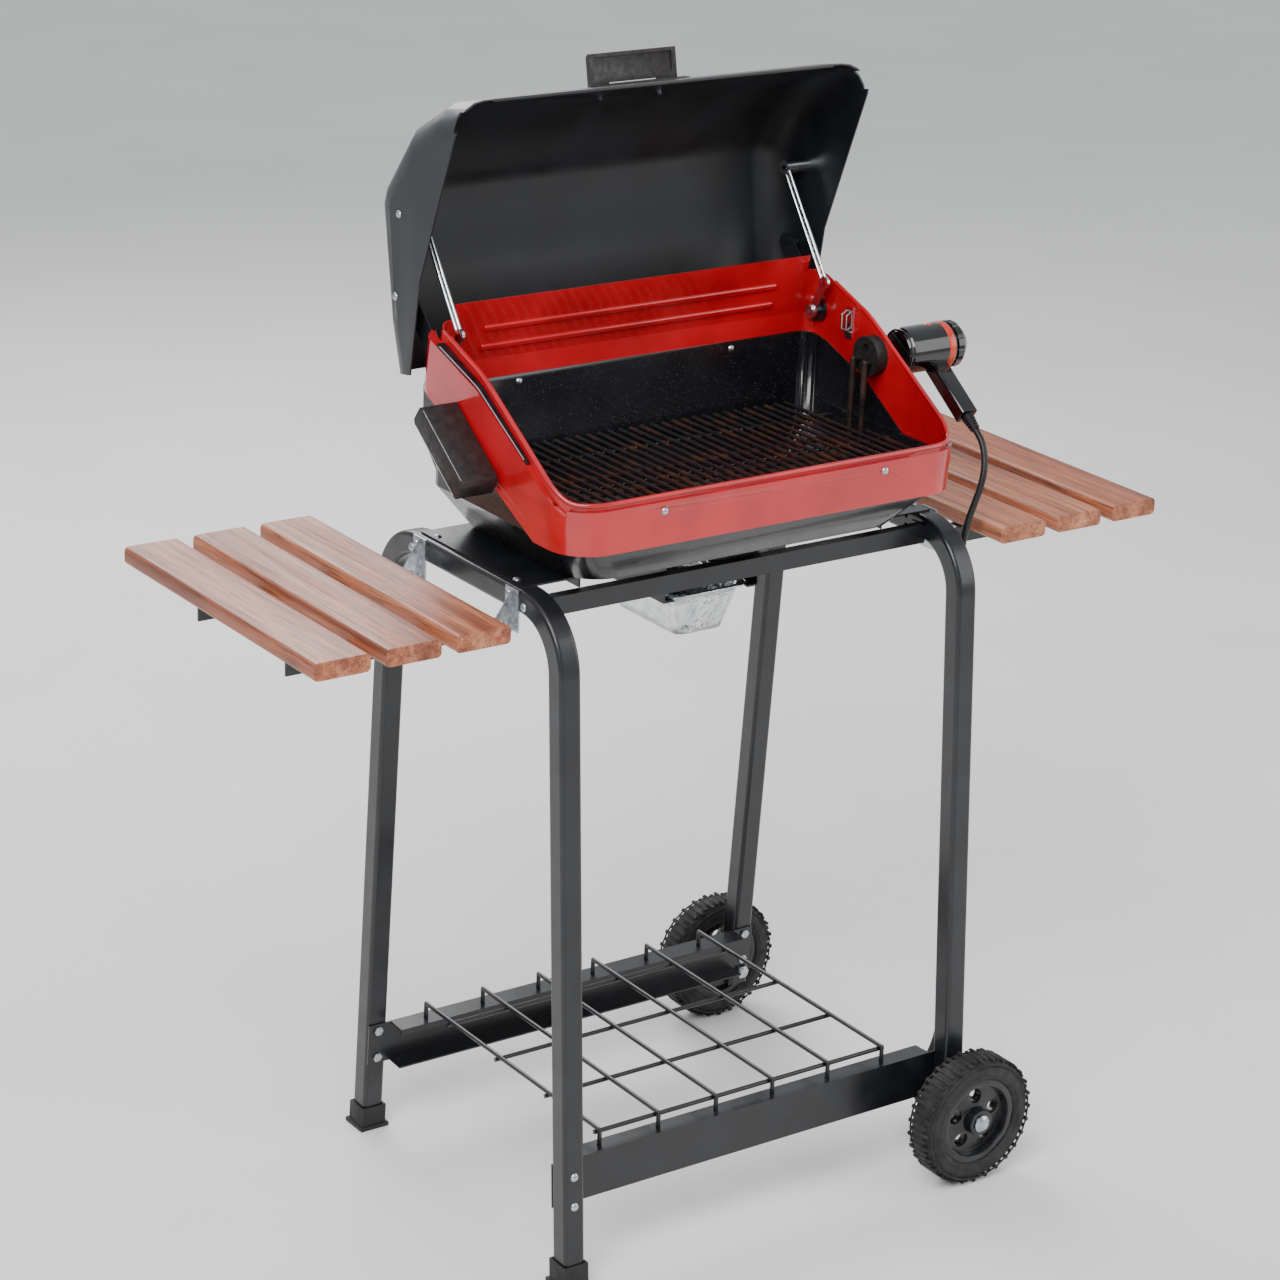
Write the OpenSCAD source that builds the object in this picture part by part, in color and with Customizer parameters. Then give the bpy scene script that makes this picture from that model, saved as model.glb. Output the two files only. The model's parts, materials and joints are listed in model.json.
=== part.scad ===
// Electric cart grill: an enamelled grill body on a wheeled tube cart, with a
// hinged hood, two fold-down slatted side tables and a plug-in controller.
// X runs to the right, Y to the back and Z up. The origin is on the floor,
// under the middle of the cart.

/* [Cart] */
// Height of the top of the side tubes above the floor
frame_h = 748; // [640:1:820]
// Distance between the centres of the left and right side frames
frame_gap = 514; // [480:1:620]
// Distance between the front and rear leg centres at the floor
foot_gap = 420; // [380:1:500]
// Lean of each leg from upright, in degrees
leg_lean = 3.6; // [1:0.1:6]
// Outside width of the square tube
tube_w = 25.4; // [20:0.2:30]
// Wall of the square tube
tube_t = 1.6; // [1:0.1:3]
// Centre line radius of the tube's upper bends
bend_r = 65; // [50:1:80]
// Height of the lower rails
rail_h = 50; // [36:1:60]
// Depth of the lower rails' flanges
rail_flange = 25; // [18:1:32]
// Height of the lower rails' underside above the floor
rail_z = 86; // [80:1:140]
// Sheet thickness of the rails and brackets
sheet_t = 2; // [1.2:0.1:3]
// Diameter of the shelf wires
shelf_wire = 5; // [4:0.5:7]
// Distance between the shelf's front to back wires
shelf_pitch = 76.2; // [60:0.1:80]

/* [Wheels] */
// Diameter of the wheels over the tread
wheel_d = 152; // [120:1:156]
// Width of the tyre
tyre_w = 38; // [28:1:44]
// Diameter of the plastic hub
hub_d = 100; // [86:1:104]
// Diameter of the axle bolts
axle_d = 12; // [8:0.5:14]

/* [Body] */
// Inside width of the grill body, wall included
body_w = 500; // [470:1:504]
// Depth of the grill body at its floor
body_d = 283; // [270:1:290]
// Height of the body's front rim above its floor
rim_front = 98; // [90:1:110]
// Slope of the rim on each side, in degrees
rim_slope = 32; // [28:0.5:34]
// Sheet thickness of the body
body_t = 1.6; // [1.2:0.1:2.2]
// Pitch of the cooking grid's rods
grid_pitch = 14; // [12:0.5:18]
// Diameter of the cooking grid's rods
grid_rod = 4.5; // [3.5:0.5:5.5]

/* [Hood] */
// Opening angle of the hood from shut, in degrees
hood_open = 101; // [80:1:104]
// Height of the hood's top above the hinge
hood_rise = 88; // [84:1:100]
// Sheet thickness of the hood
hood_t = 1.5; // [1:0.1:2]

/* [Side tables] */
// Width of one board
board_w = 63.5; // [50:0.5:70]
// Thickness of one board
board_t = 19; // [15:0.5:22]
// Length of one board
board_l = 396; // [340:1:420]
// Gap between boards
board_gap = 16.9; // [8:0.1:20]

/* [Controller] */
// Diameter of the controller barrel
barrel_d = 52; // [44:1:56]
// Length of the controller barrel
barrel_l = 66; // [56:1:80]
// Diameter of the power cord
cord_d = 7.5; // [6:0.5:8]

/* [Hidden] */
$fn = 48;

// Gap left between pieces that move past each other
gap = 0.3;
// Radial clearance of a turning fit
fit = 0.05;
// Radial clearance of a screw in its hole
screw_gap = 0.2;

// Gap of the butt joint between a leg and its bend
butt_gap = 0.02;

// Side frames
hx = frame_gap / 2;
th = tube_w / 2;
top_z = frame_h - th;
tube_corner = 4.5;
bend_z = top_z - bend_r;
leg_top_z = bend_z + bend_r * sin(leg_lean);
leg_top_y = foot_gap / 2 - leg_top_z * tan(leg_lean);
bend_y = leg_top_y - bend_r * cos(leg_lean);
foot_h = 28;
foot_floor = 5;
axle_z = wheel_d / 2;
axle_r = axle_d / 2;
wheeled_leg_z = axle_z - axle_r - 12;
function leg_y(z) = foot_gap / 2 - z * tan(leg_lean);

// Rails and shelf
rail_end = hx + th - 1;
flange_end = hx - th - 4;
screw_r = 3;
rail_screw_z = [rail_h * 0.16, rail_h * 0.84];
upper_rail_h = 20;
upper_rail_d = 22;
upper_rail_y = bend_y + 14;
upper_rail_z = top_z - upper_rail_h / 2 - 6;
upper_screw_z = top_z - 4;
upper_screw_y = upper_rail_y - sheet_t - 1.9 * screw_r - 3 * screw_gap;
shelf_z = rail_z + rail_h + 16;
shelf_y = leg_y(rail_z + rail_h) - th - rail_flange / 2;
shelf_x = [for (i = [-3 : 2]) (i + 0.5) * shelf_pitch - 10];
shelf_cross_y = [-shelf_y + 5, -76, 24, 124];

// Wheels
wheel_gap = 8;
wheel_y = leg_y(axle_z) + th + wheel_gap + tyre_w / 2;
hub_l = tyre_w + 4;
axle_head = 6;

// Body, measured up from the pan's floor
floor_z = frame_h + sheet_t;
bw = body_w / 2;
front_y = -body_d * 0.583;
back_y = front_y + body_d;
plan_r = 45;
rear_r = 18;
rim_z = floor_z + rim_front;
rim_top_z = floor_z + 244;
rim_start_y = front_y + 18;
casing_z = floor_z + 44;
casing_out = 12.5;
handle_off = 9;
ledge_drop = 14;
ledge_front_drop = 7;
liner_drop = 42;
pan_side_z = floor_z + 50;
pan_gap = 0.1;
back_lean_z = floor_z + 175;
back_lean = 20;
hinge_y = back_y - 24;
hinge_z = floor_z + 180;
function rim(y) = min(rim_top_z, rim_z + max(0, y - rim_start_y) * tan(rim_slope)
  - max(0, y - 5) * tan(rim_slope) * 0.42);
function ledge(y) = rim(y) - (y < rim_start_y ? ledge_front_drop : ledge_drop);
function pan_top(y) = max(floor_z + 66, min(floor_z + 155, rim(y) - 72));
function casing_low(y) = max(casing_z, min(floor_z + 155, casing_z + (y + 95) * tan(28)));
function casing_w(z) = bw + 1 + casing_out * (z - casing_z) / (rim_top_z + 6 - casing_z);
rim_ys = [-260, rim_start_y - 0.1, rim_start_y, 5, hinge_y - 10, back_y - 10, 220];
side_ys = [-260, -95, -60, -20, 5, 40, 80, back_y, 220];

// Hood, in its shut position
hood_w = bw + 13;
hood_round = 36;
hood_front = front_y - 12;
hood_back = hinge_y + 10;
hood_top_z = hinge_z + hood_rise;
hood_lip_z = rim_z - ledge_front_drop - 7;
hood_shape = [[hood_front, rim_z - 60], [hood_front, rim_z + 24], [hood_front + 22, rim_z + 90],
  [hood_front + 78, hood_top_z - 16], [hood_front + 98, hood_top_z - 4], [50, hood_top_z],
  [hood_back + 40, hood_top_z - 10], [hood_back + 40, rim_z - 60]];
hood_slope = 22 / 66;
function hood_face(z) = hood_front + (z - rim_z - 24) * hood_slope;
stay_wire = 3.6;
plate_t = 2;
plate_x = bw - body_t - plate_t - 0.5;
stay_x = bw - 13.5;
pin_r = 4;

// Side tables
table_y = 39;
arm_ys = [-90, 90];
board_in = hx + th + 46.8;
board_z = frame_h - 11 - board_t;
pivot_x = hx + th + 16;
pivot_z = board_z - 8;
arm_t = 2.5;
arm_h = 18;
board_round = 5;
function board_x(i) = board_in + board_w / 2 + i * (board_w + board_gap);
table_out = board_x(2) + board_w / 2;

// Heating and controller
grid_z = floor_z + 76;
grid_w = bw - body_t - 10;
grid_front = front_y + 10;
grid_back = hinge_y + 5;
block_y = -8;
block_z = floor_z + 153;
block_r = 22;
neck_r = 12;
barrel_r = barrel_d / 2;
barrel_x = bw + 14.5;
barrel_y = block_y - 18;
barrel_z = block_z + 6;
dial_l = 16;

// Power cord, from the strain relief under the grip to the coil on the floor
grip_end = [310, -96, 848];
cord_points = [[309.5, -124, 826], [307, -133, 812.5], [303, -138.5, 797], [298, -140, 780],
  [292.5, -138.5, 762], [287.5, -136, 742], [284, -134, 715], [282.3, -134, 670],
  [282, -137, 600], [282, -143, 500], [282, -149, 400], [282, -155, 300], [282, -159, 215],
  [282, -157, 165], [282, -149, 125], [281.4, -138.5, 97], [280.5, -128, 72], [280, -122.6, 54],
  [282.6, -122, 39.8], [290, -122, 28.8], [301, -122, 21.4], [314, -122, 18.8]];
coil_c = [314, -166, 0];
coil_r = 44;
coil_layers = 2;

/* shared shapes */

module rounded_rect(w, d, r) {
  square([w - 2 * r, d], center = true);
  square([w, d - 2 * r], center = true);
  for (x = [-1, 1], y = [-1, 1]) translate([x * (w / 2 - r), y * (d / 2 - r)]) circle(r);
}

// Plan outline of the body between two Y values, with wider corners at the front
module plan(half_w, y0, y1, r) {
  rb = r - plan_r + rear_r;
  translate([-half_w + r, y0]) square([2 * half_w - 2 * r, r]);
  translate([-half_w, y0 + r]) square([2 * half_w, y1 - y0 - r - rb]);
  translate([-half_w + rb, y1 - rb]) square([2 * half_w - 2 * rb, rb]);
  for (x = [-1, 1]) {
    translate([x * (half_w - r), y0 + r]) circle(r);
    translate([x * (half_w - rb), y1 - rb]) circle(rb);
  }
}

// Prism of a side view outline, centred on X
module side_prism(points, half_w = 300) {
  rotate([90, 0, 90]) linear_extrude(2 * half_w, center = true) polygon(points);
}

module below(f, ys, drop = 0, floor = 700) {
  side_prism(concat([[ys[0], floor]], [[ys[len(ys) - 1], floor]],
    [for (i = [len(ys) - 1 : -1 : 0]) [ys[i], f(ys[i]) - drop]]));
}

module above(f, ys, rise = 0, roof = 1100) {
  side_prism(concat([for (y = ys) [y, f(y) + rise]],
    [[ys[len(ys) - 1], roof], [ys[0], roof]]));
}

// Places children in the frame of a leg: Z along the leg, +Y towards the cart's middle
module on_leg(side, z) {
  mirror([0, side > 0 ? 1 : 0, 0]) translate([0, -leg_y(z), z]) rotate([-leg_lean, 0, 0]) children();
}

module rod(p, q, d) {
  v = q - p;
  translate(p) rotate([0, acos(v[2] / norm(v)), atan2(v[1], v[0])]) cylinder(h = norm(v), d = d, $fn = 24);
}

module ball(p, d) translate(p) sphere(d = d, $fn = 24);

// Screw along +Z, with its head's underside at the origin and its nut at depth
module screw(r, depth, head_h = 2.6, nut = true) {
  difference() {
    translate([0, 0, head_h - 1.9 * r]) sphere(1.9 * r);
    translate([0, 0, -4 * r]) cylinder(h = 4 * r, r = 3 * r);
  }
  translate([0, 0, -depth]) cylinder(h = depth, r = r);
  if (nut) translate([0, 0, -depth]) cylinder(h = 2.4, r = 1.9 * r, $fn = 6);
}

/* cart */

module tube_run(w, r) {
  for (side = [-1, 1]) {
    on_leg(side, -40) linear_extrude((leg_top_z + 40) / cos(leg_lean) - butt_gap)
      rounded_rect(w, w, r);
    mirror([0, side > 0 ? 1 : 0, 0]) translate([0, -bend_y, bend_z]) rotate([0, 90, 0])
      rotate([0, 0, 180]) rotate_extrude(angle = 90 - leg_lean, $fn = 96)
      translate([bend_r, 0]) rounded_rect(w, w, r);
  }
  translate([0, 0, top_z]) rotate([90, 0, 0]) linear_extrude(2 * bend_y, center = true)
    rounded_rect(w, w, r);
}

module leg_frame(x, cut_z) {
  color("#1c1d20") difference() {
    translate([x, 0, 0]) tube_run(tube_w, tube_corner);
    translate([x, 0, 0]) tube_run(tube_w - 2 * tube_t, tube_corner - tube_t);
    translate([x - 40, -300, -60]) cube([80, 600, cut_z + 60]);
    for (side = [-1, 1]) {
      for (z = rail_screw_z) on_leg(side, rail_z) translate([x, 0, z])
        rotate([90, 0, 0]) cylinder(h = 40, r = screw_r + screw_gap, center = true);
      translate([x, side * 77, top_z]) cylinder(h = 40, r = screw_r + screw_gap, center = true);
      translate([x, side * upper_screw_y, upper_screw_z])
        rotate([0, 90, 0]) cylinder(h = 40, r = screw_r + screw_gap, center = true);
      if (x > 0) translate([x, side * leg_y(axle_z), axle_z]) rotate([90, 0, 0])
        cylinder(h = 60, r = axle_r + screw_gap, center = true);
    }
    for (y = arm_ys, z = [-5, 5]) translate([x, y + 7, top_z + z])
      rotate([0, 90, 0]) cylinder(h = 40, r = 2.4, center = true);
  }
}

module left_leg_frame() leg_frame(-hx, foot_floor);
module right_leg_frame() leg_frame(hx, wheeled_leg_z);

module left_feet() {
  color("#141414") for (side = [-1, 1]) difference() {
    union() {
      intersection() {
        on_leg(side, 0) translate([-hx, 0, foot_h / 2]) cube([tube_w + 5, tube_w + 5, foot_h + 8], center = true);
        translate([-hx - 40, -300, 0]) cube([80, 600, foot_h]);
      }
      translate([-hx, side * leg_y(foot_floor / 2), foot_floor / 2])
        cube([tube_w + 11, tube_w + 11, foot_floor], center = true);
    }
    intersection() {
      on_leg(side, 0) translate([-hx, 0, foot_h / 2]) cube([tube_w, tube_w, foot_h + 30], center = true);
      translate([-hx - 40, -300, foot_floor]) cube([80, 600, 90]);
    }
  }
}

module lower_rail(side) {
  color("#1c1d20") difference() {
    on_leg(side, rail_z) {
      translate([-rail_end, th, 0]) cube([2 * rail_end, sheet_t, rail_h]);
      translate([-flange_end, th, 0]) cube([2 * flange_end, rail_flange, sheet_t]);
      translate([-flange_end, th, rail_h - sheet_t]) cube([2 * flange_end, rail_flange, sheet_t]);
      translate([-flange_end, th + rail_flange - sheet_t, rail_h - 8]) cube([2 * flange_end, sheet_t, 8]);
    }
    for (x = [-hx, hx], z = rail_screw_z) on_leg(side, rail_z) translate([x, th, z])
      rotate([90, 0, 0]) cylinder(h = 20, r = screw_r + screw_gap, center = true);
    for (x = shelf_x) translate([x, side * shelf_y, rail_z + rail_h])
      cylinder(h = 30, d = shelf_wire + 0.6, center = true, $fn = 24);
  }
}

module front_lower_rail() lower_rail(-1);
module rear_lower_rail() lower_rail(1);

module upper_rail(side) {
  color("#1c1d20") mirror([0, side > 0 ? 1 : 0, 0]) difference() {
    union() {
      translate([-hx + th, -upper_rail_y, upper_rail_z]) cube([frame_gap - tube_w, sheet_t, upper_rail_h]);
      for (z = [upper_rail_z, upper_rail_z + upper_rail_h - sheet_t]) translate([-hx + th, -upper_rail_y, z])
        cube([frame_gap - tube_w, upper_rail_d * 0.6, sheet_t]);
      for (x = [-hx + th, hx - th - sheet_t]) translate([x, -upper_rail_y, upper_rail_z])
        cube([sheet_t, upper_rail_d, upper_rail_h]);
    }
    translate([0, -upper_screw_y, upper_screw_z]) rotate([0, 90, 0])
      cylinder(h = frame_gap, r = screw_r + screw_gap, center = true);
  }
}

module front_upper_rail() upper_rail(-1);
module rear_upper_rail() upper_rail(1);

module wire_shelf() {
  color("#202125") {
    for (x = shelf_x) {
      rod([x, -shelf_y, shelf_z], [x, shelf_y, shelf_z], shelf_wire);
      for (side = [-1, 1]) {
        ball([x, side * shelf_y, shelf_z], shelf_wire);
        rod([x, side * shelf_y, rail_z + rail_h - 12], [x, side * shelf_y, shelf_z], shelf_wire);
      }
    }
    for (y = shelf_cross_y) rod([shelf_x[0] - 4, y, shelf_z - shelf_wire * 0.8],
      [shelf_x[5] + 4, y, shelf_z - shelf_wire * 0.8], shelf_wire);
  }
}

module rail_screws() {
  color("#c9ccd0") for (x = [-hx, hx], side = [-1, 1]) {
    for (z = rail_screw_z) on_leg(side, rail_z) translate([x, -th, z]) rotate([90, 0, 0])
      screw(screw_r, tube_w + sheet_t + 2.4);
    sx = sign(x);
    translate([sx * (hx + th), side * upper_screw_y, upper_screw_z])
      rotate([0, sx * 90, 0]) screw(screw_r, tube_w + sheet_t + 2.4);
  }
}

// Zinc angle bracket on the outside of a side tube, with a gusset that carries the arm's pivot
module table_bracket(y) {
  bracket_h = 46;
  bx = hx + th;
  translate([bx, y - 12, frame_h - bracket_h]) cube([sheet_t, 24, bracket_h]);
  difference() {
    translate([0, y - 1, 0]) rotate([90, 0, 0]) linear_extrude(sheet_t) polygon([
      [bx, frame_h - bracket_h], [bx + 20, pivot_z - 10], [pivot_x + 8, pivot_z - 6],
      [pivot_x + 8, pivot_z + 6], [bx + 2, frame_h]]);
    translate([pivot_x, y, pivot_z]) rotate([90, 0, 0]) cylinder(h = 20, r = 3 + screw_gap, center = true);
  }
  // pivot screw with its nut, and the two tube screws
  translate([pivot_x, y - 1 - sheet_t, pivot_z]) rotate([90, 0, 0]) screw(3, sheet_t + arm_t + 3.8, nut = false);
  translate([pivot_x, y - 1 + arm_t + 1.2, pivot_z]) rotate([-90, 0, 0]) cylinder(h = 2.4, r = 5.5, $fn = 6);
  for (z = [-5, 5]) translate([bx + sheet_t, y + 7, top_z + z]) rotate([0, 90, 0])
    screw(2.2, 8, nut = false);
}

module table_brackets() {
  color("#b9bdc2") for (side = [0, 1], y = arm_ys) mirror([side, 0, 0]) table_bracket(y);
}

/* wheels */

module axle_bolt(side) {
  far = wheel_y + hub_l / 2 + 0.5;
  near = leg_y(axle_z) - th - 1;
  color("#c4c7cb") mirror([0, side > 0 ? 1 : 0, 0]) {
    translate([hx, -far, axle_z]) rotate([90, 0, 0]) intersection() {
      cylinder(h = axle_head, r = axle_r + 4);
      translate([0, 0, axle_head - 14]) sphere(14);
    }
    translate([hx, -far, axle_z]) rotate([-90, 0, 0]) cylinder(h = far - near + 8, r = axle_r);
    translate([hx, -near, axle_z]) rotate([-90, 0, 0]) cylinder(h = 6, r = axle_r + 2.4, $fn = 6);
    translate([hx, -leg_y(axle_z) - th - wheel_gap + 2.5, axle_z]) rotate([-90, 0, 0])
      cylinder(h = wheel_gap - 4, r = axle_r + 4);
  }
}

module front_axle_bolt() axle_bolt(-1);
module rear_axle_bolt() axle_bolt(1);

module wheel_at(side) {
  mirror([0, side > 0 ? 1 : 0, 0]) translate([hx, -wheel_y, axle_z]) rotate([90, 0, 0]) children();
}

module tyre(side) {
  r = wheel_d / 2;
  t = tyre_w / 2;
  color("#18181a") wheel_at(side) rotate_extrude($fn = 96) {
    polygon([[hub_d / 2, -t + 3], [hub_d / 2 + 4, -t], [r - 12, -t], [r - 3, -t + 6], [r, -t + 12],
      [r, t - 12], [r - 3, t - 6], [r - 12, t], [hub_d / 2 + 4, t], [hub_d / 2, t - 3]]);
  }
}

module wheel_hub(side) {
  r = hub_d / 2;
  t = tyre_w / 2;
  color("#202022") wheel_at(side) difference() {
    rotate_extrude($fn = 96) polygon([[axle_r + fit, -hub_l / 2], [axle_r + 9, -hub_l / 2],
      [axle_r + 9, -3], [r - 8, -6], [r - 7, -t + 3], [r, -t + 3], [r, t - 3], [r - 7, t - 3],
      [r - 10, 6], [axle_r + 10, 9], [axle_r + 9, hub_l / 2], [axle_r + fit, hub_l / 2]]);
    for (i = [0 : 4]) rotate([0, 0, 90 + i * 72]) translate([r * 0.56, 0, 0])
      cylinder(h = 60, r = r * 0.17, center = true);
  }
}

module front_tyre() tyre(-1);
module rear_tyre() tyre(1);
module front_wheel_hub() wheel_hub(-1);
module rear_wheel_hub() wheel_hub(1);

/* body */

module body_supports() {
  color("#1c1d20") for (s = [0, 1]) mirror([s, 0, 0]) difference() {
    union() {
      translate([-hx - 6, -100, frame_h]) cube([hx - bw * 0.78 + 6, 200, sheet_t]);
      translate([-bw * 0.78 - sheet_t, -100, frame_h - 10]) cube([sheet_t, 200, 10]);
    }
    for (y = [-77, 77]) translate([-hx, y, frame_h]) cylinder(h = 20, r = screw_r + screw_gap, center = true);
    for (y = [-60, 60]) translate([-bw * 0.81, y, frame_h]) cylinder(h = 20, r = 2.5 + screw_gap, center = true);
  }
}

module support_screws() {
  color("#c9ccd0") for (s = [-1, 1], y = [-77, 77]) {
    translate([s * hx, y, floor_z]) screw(screw_r, tube_w + sheet_t + 2.4);
  }
  color("#c9ccd0") for (s = [-1, 1], y = [-60, 60])
    translate([s * bw * 0.81, y, frame_h]) rotate([180, 0, 0]) screw(2.5, sheet_t + body_t + 2.4);
}

module pan_solid(t) {
  hull() {
    translate([0, 0, floor_z + t]) linear_extrude(0.1)
      plan(bw * 0.84 - t, front_y + 42 + t, back_y - 24 - t, plan_r - t, $fn = 32);
    translate([0, 0, pan_side_z]) linear_extrude(0.1)
      plan(bw - body_t - pan_gap - t, front_y + body_t + pan_gap + t, back_y - 8 - t, plan_r - t, $fn = 32);
  }
  intersection() {
    translate([0, 0, pan_side_z]) linear_extrude(200)
      plan(bw - body_t - pan_gap - t, front_y + body_t + pan_gap + t, back_y - 8 - t, plan_r - t);
    below(function (y) pan_top(y) + t, side_ys);
  }
}

module lower_pan() {
  color("#17181a") difference() {
    pan_solid(0);
    pan_solid(body_t);
    cylinder(h = 2000, r = 9, center = true);
    bowl_screw_holes();
    for (s = [-1, 1], y = [-60, 60]) translate([s * bw * 0.81, y, floor_z]) cylinder(h = 20, r = 2.5 + screw_gap, center = true);
    for (s = [-1, 1], y = [-50, 50]) translate([s * 52, y, floor_z]) cylinder(h = 20, r = 2 + screw_gap, center = true);
  }
}

module rear_cover() {
  y0 = back_y - 6.4;
  z1 = floor_z + 152;
  x1 = bw - 15;
  outline = [[y0, z1], [y0 + 30, z1], [y0 + 34, z1 - 6], [y0 + 34, z1 - 64], [y0, z1 - 100]];
  inner = [[y0 - 1, z1 - 2], [y0 + 29, z1 - 2], [y0 + 32, z1 - 8], [y0 + 32, z1 - 63], [y0 - 1, z1 - 97]];
  color("#17181a") difference() {
    union() {
      difference() {
        side_prism(outline, x1);
        side_prism(inner, x1 - 2);
      }
      translate([-x1, y0, z1 - 13]) cube([2 * x1, 2, 13]);
    }
    bowl_screw_holes();
  }
}

module casing_solid(t) {
  hull() {
    translate([0, 0, casing_z - (t > 0 ? 1 : 0)]) linear_extrude(0.1)
      plan(bw + 1 - t, front_y - 2 + t, back_y + 2 - t, plan_r - t, $fn = 32);
    translate([0, 0, floor_z + 155]) linear_extrude(0.1)
      plan(casing_w(floor_z + 155) - t, front_y - 6 + t, back_y + 2 - t, plan_r - t, $fn = 32);
  }
  hull() {
    translate([0, 0, floor_z + 155]) linear_extrude(0.1)
      plan(casing_w(floor_z + 155) - t, front_y - 6 + t, back_y + 2 - t, plan_r - t, $fn = 32);
    translate([0, 0, rim_top_z + 6]) linear_extrude(0.1)
      plan(bw + 1 + casing_out - t, front_y - 9 + t, back_y + 2 - back_lean - t, plan_r - t, $fn = 32);
  }
}

module liner_solid(t) {
  hull() {
    translate([0, 0, floor_z + 40]) linear_extrude(0.1) plan(bw - t, front_y + t, back_y - 6.4 - t, plan_r - t, $fn = 32);
    translate([0, 0, back_lean_z]) linear_extrude(0.1) plan(bw - t, front_y + t, back_y - 6.4 - t, plan_r - t, $fn = 32);
  }
  hull() {
    translate([0, 0, back_lean_z]) linear_extrude(0.1) plan(bw - t, front_y + t, back_y - 6.4 - t, plan_r - t, $fn = 32);
    translate([0, 0, rim_top_z + 6]) linear_extrude(0.1)
      plan(bw - t, front_y + t, back_y - 6.4 - back_lean - t, plan_r - t, $fn = 32);
  }
}

module bowl_screw_holes() {
  for (x = [-141, 141]) translate([x, front_y, floor_z + 81]) rotate([90, 0, 0])
    cylinder(h = 40, r = 2.5 + screw_gap, center = true);
  for (x = [-139, 139]) translate([x, back_y - 4, floor_z + 145]) rotate([90, 0, 0])
    cylinder(h = 40, r = 2.5 + screw_gap, center = true);
}

module hinge_pin_holes(r) {
  translate([0, hinge_y, hinge_z]) rotate([0, 90, 0]) cylinder(h = 700, r = r, center = true);
}

// Slots in the rear corners that the hood's hinge plates pass through
module hinge_slots() {
  for (s = [0, 1]) mirror([s, 0, 0]) translate([plate_x - 0.6, hinge_y - 20, hinge_z - 16])
    cube([bw - body_t - plate_x + 0.7, 122, 120]);
}

module block_hole() {
  translate([bw - 8, block_y, block_z]) rotate([0, 90, 0]) cylinder(h = 30, r = neck_r + screw_gap);
}

// Outer red shell, with the ledge that the hood's rim comes down on
module bowl_casing() {
  color("#c01820") difference() {
    intersection() {
      casing_solid(0);
      below(function (y) ledge(y), rim_ys);
      above(function (y) casing_low(y), side_ys);
    }
    intersection() {
      casing_solid(body_t);
      below(function (y) ledge(y), rim_ys, drop = body_t);
    }
    linear_extrude(1200) plan(bw + 0.2, front_y - 0.2, back_y - 6.2, plan_r);
    bowl_screw_holes();
    hinge_slots();
    block_hole();
    carry_handle_holes(3 + screw_gap);
  }
}

// Inner red wall with the raised rim and the leaning back panel
module bowl_liner() {
  color("#c01820") difference() {
    intersection() {
      difference() {
        liner_solid(0);
        liner_solid(body_t);
      }
      union() {
        below(function (y) rim(y), rim_ys);
        translate([-bw + 20, hinge_y - 12, 700]) cube([2 * bw - 40, 100, rim_top_z - 700]);
      }
      above(function (y) pan_top(y) - 16, side_ys);
    }
    bowl_screw_holes();
    hinge_pin_holes(pin_r + screw_gap);
    hinge_slots();
    block_hole();
  }
}

module bowl_screws() {
  color("#c9ccd0") {
    for (x = [-141, 141]) translate([x, front_y - 3.54, floor_z + 81]) rotate([90, 0, 0])
      screw(2.5, 7.6);
    for (x = [-139, 139]) translate([x, back_y - 6.4 - body_t - body_t, floor_z + 145])
      rotate([90, 0, 0]) screw(2.5, 2 * body_t + 4.4);
  }
}

module rim_trims() {
  color("#2a2c30") for (s = [0, 1]) mirror([s, 0, 0]) intersection() {
    translate([0, 0, 700]) linear_extrude(400)
      polygon([[-bw - 1, 80], [-bw - 10.5, 80], [-bw - 4.5, -85], [-bw - 1, -85]]);
    above(function (y) ledge(y), rim_ys, rise = 0);
    below(function (y) ledge(y) + 3, rim_ys);
  }
}

module on_carry_handle() {
  translate([-bw - handle_off, 8, floor_z + 117]) rotate([rim_slope + 4, 0, 0]) children();
}

module carry_handle_holes(r) {
  for (y = [-38, 38]) on_carry_handle() translate([0, y, 0]) rotate([0, 90, 0]) cylinder(h = 44, r = r, center = true);
}

module carry_handle() {
  color("#231f20") difference() {
    on_carry_handle() translate([-42, 0, 0]) rotate([0, 90, 0]) linear_extrude(42)
      rounded_rect(26, 106, 6);
    carry_handle_holes(3 + screw_gap);
    on_carry_handle() translate([-21, 0, -10]) cube([28, 84, 14], center = true);
  }
}

module carry_handle_screws() {
  color("#c9ccd0") for (y = [-38, 38]) {
    wall = casing_w(floor_z + 113 + y * sin(rim_slope + 4)) - body_t;
    on_carry_handle() translate([bw + handle_off - wall, y, 0]) rotate([0, -90, 0]) {
      cylinder(h = 20, r = 3);
      translate([0, 0, -1.2]) cylinder(h = 1.2, r = 5.4);
    }
  }
}

/* hinge, inside fittings */

module hinge_pins() {
  inner = stay_x - 1.6 - gap;
  color("#c9ccd0") for (s = [-1, 1]) translate([0, hinge_y, hinge_z]) rotate([0, s * 90, 0]) {
    translate([0, 0, inner - 2.4]) cylinder(h = 2.4, r = pin_r + 3);
    translate([0, 0, inner]) cylinder(h = bw + 3 - inner, r = pin_r);
    translate([0, 0, bw + 0.1]) cylinder(h = 2.4, r = pin_r + 2.5, $fn = 6);
  }
}

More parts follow.
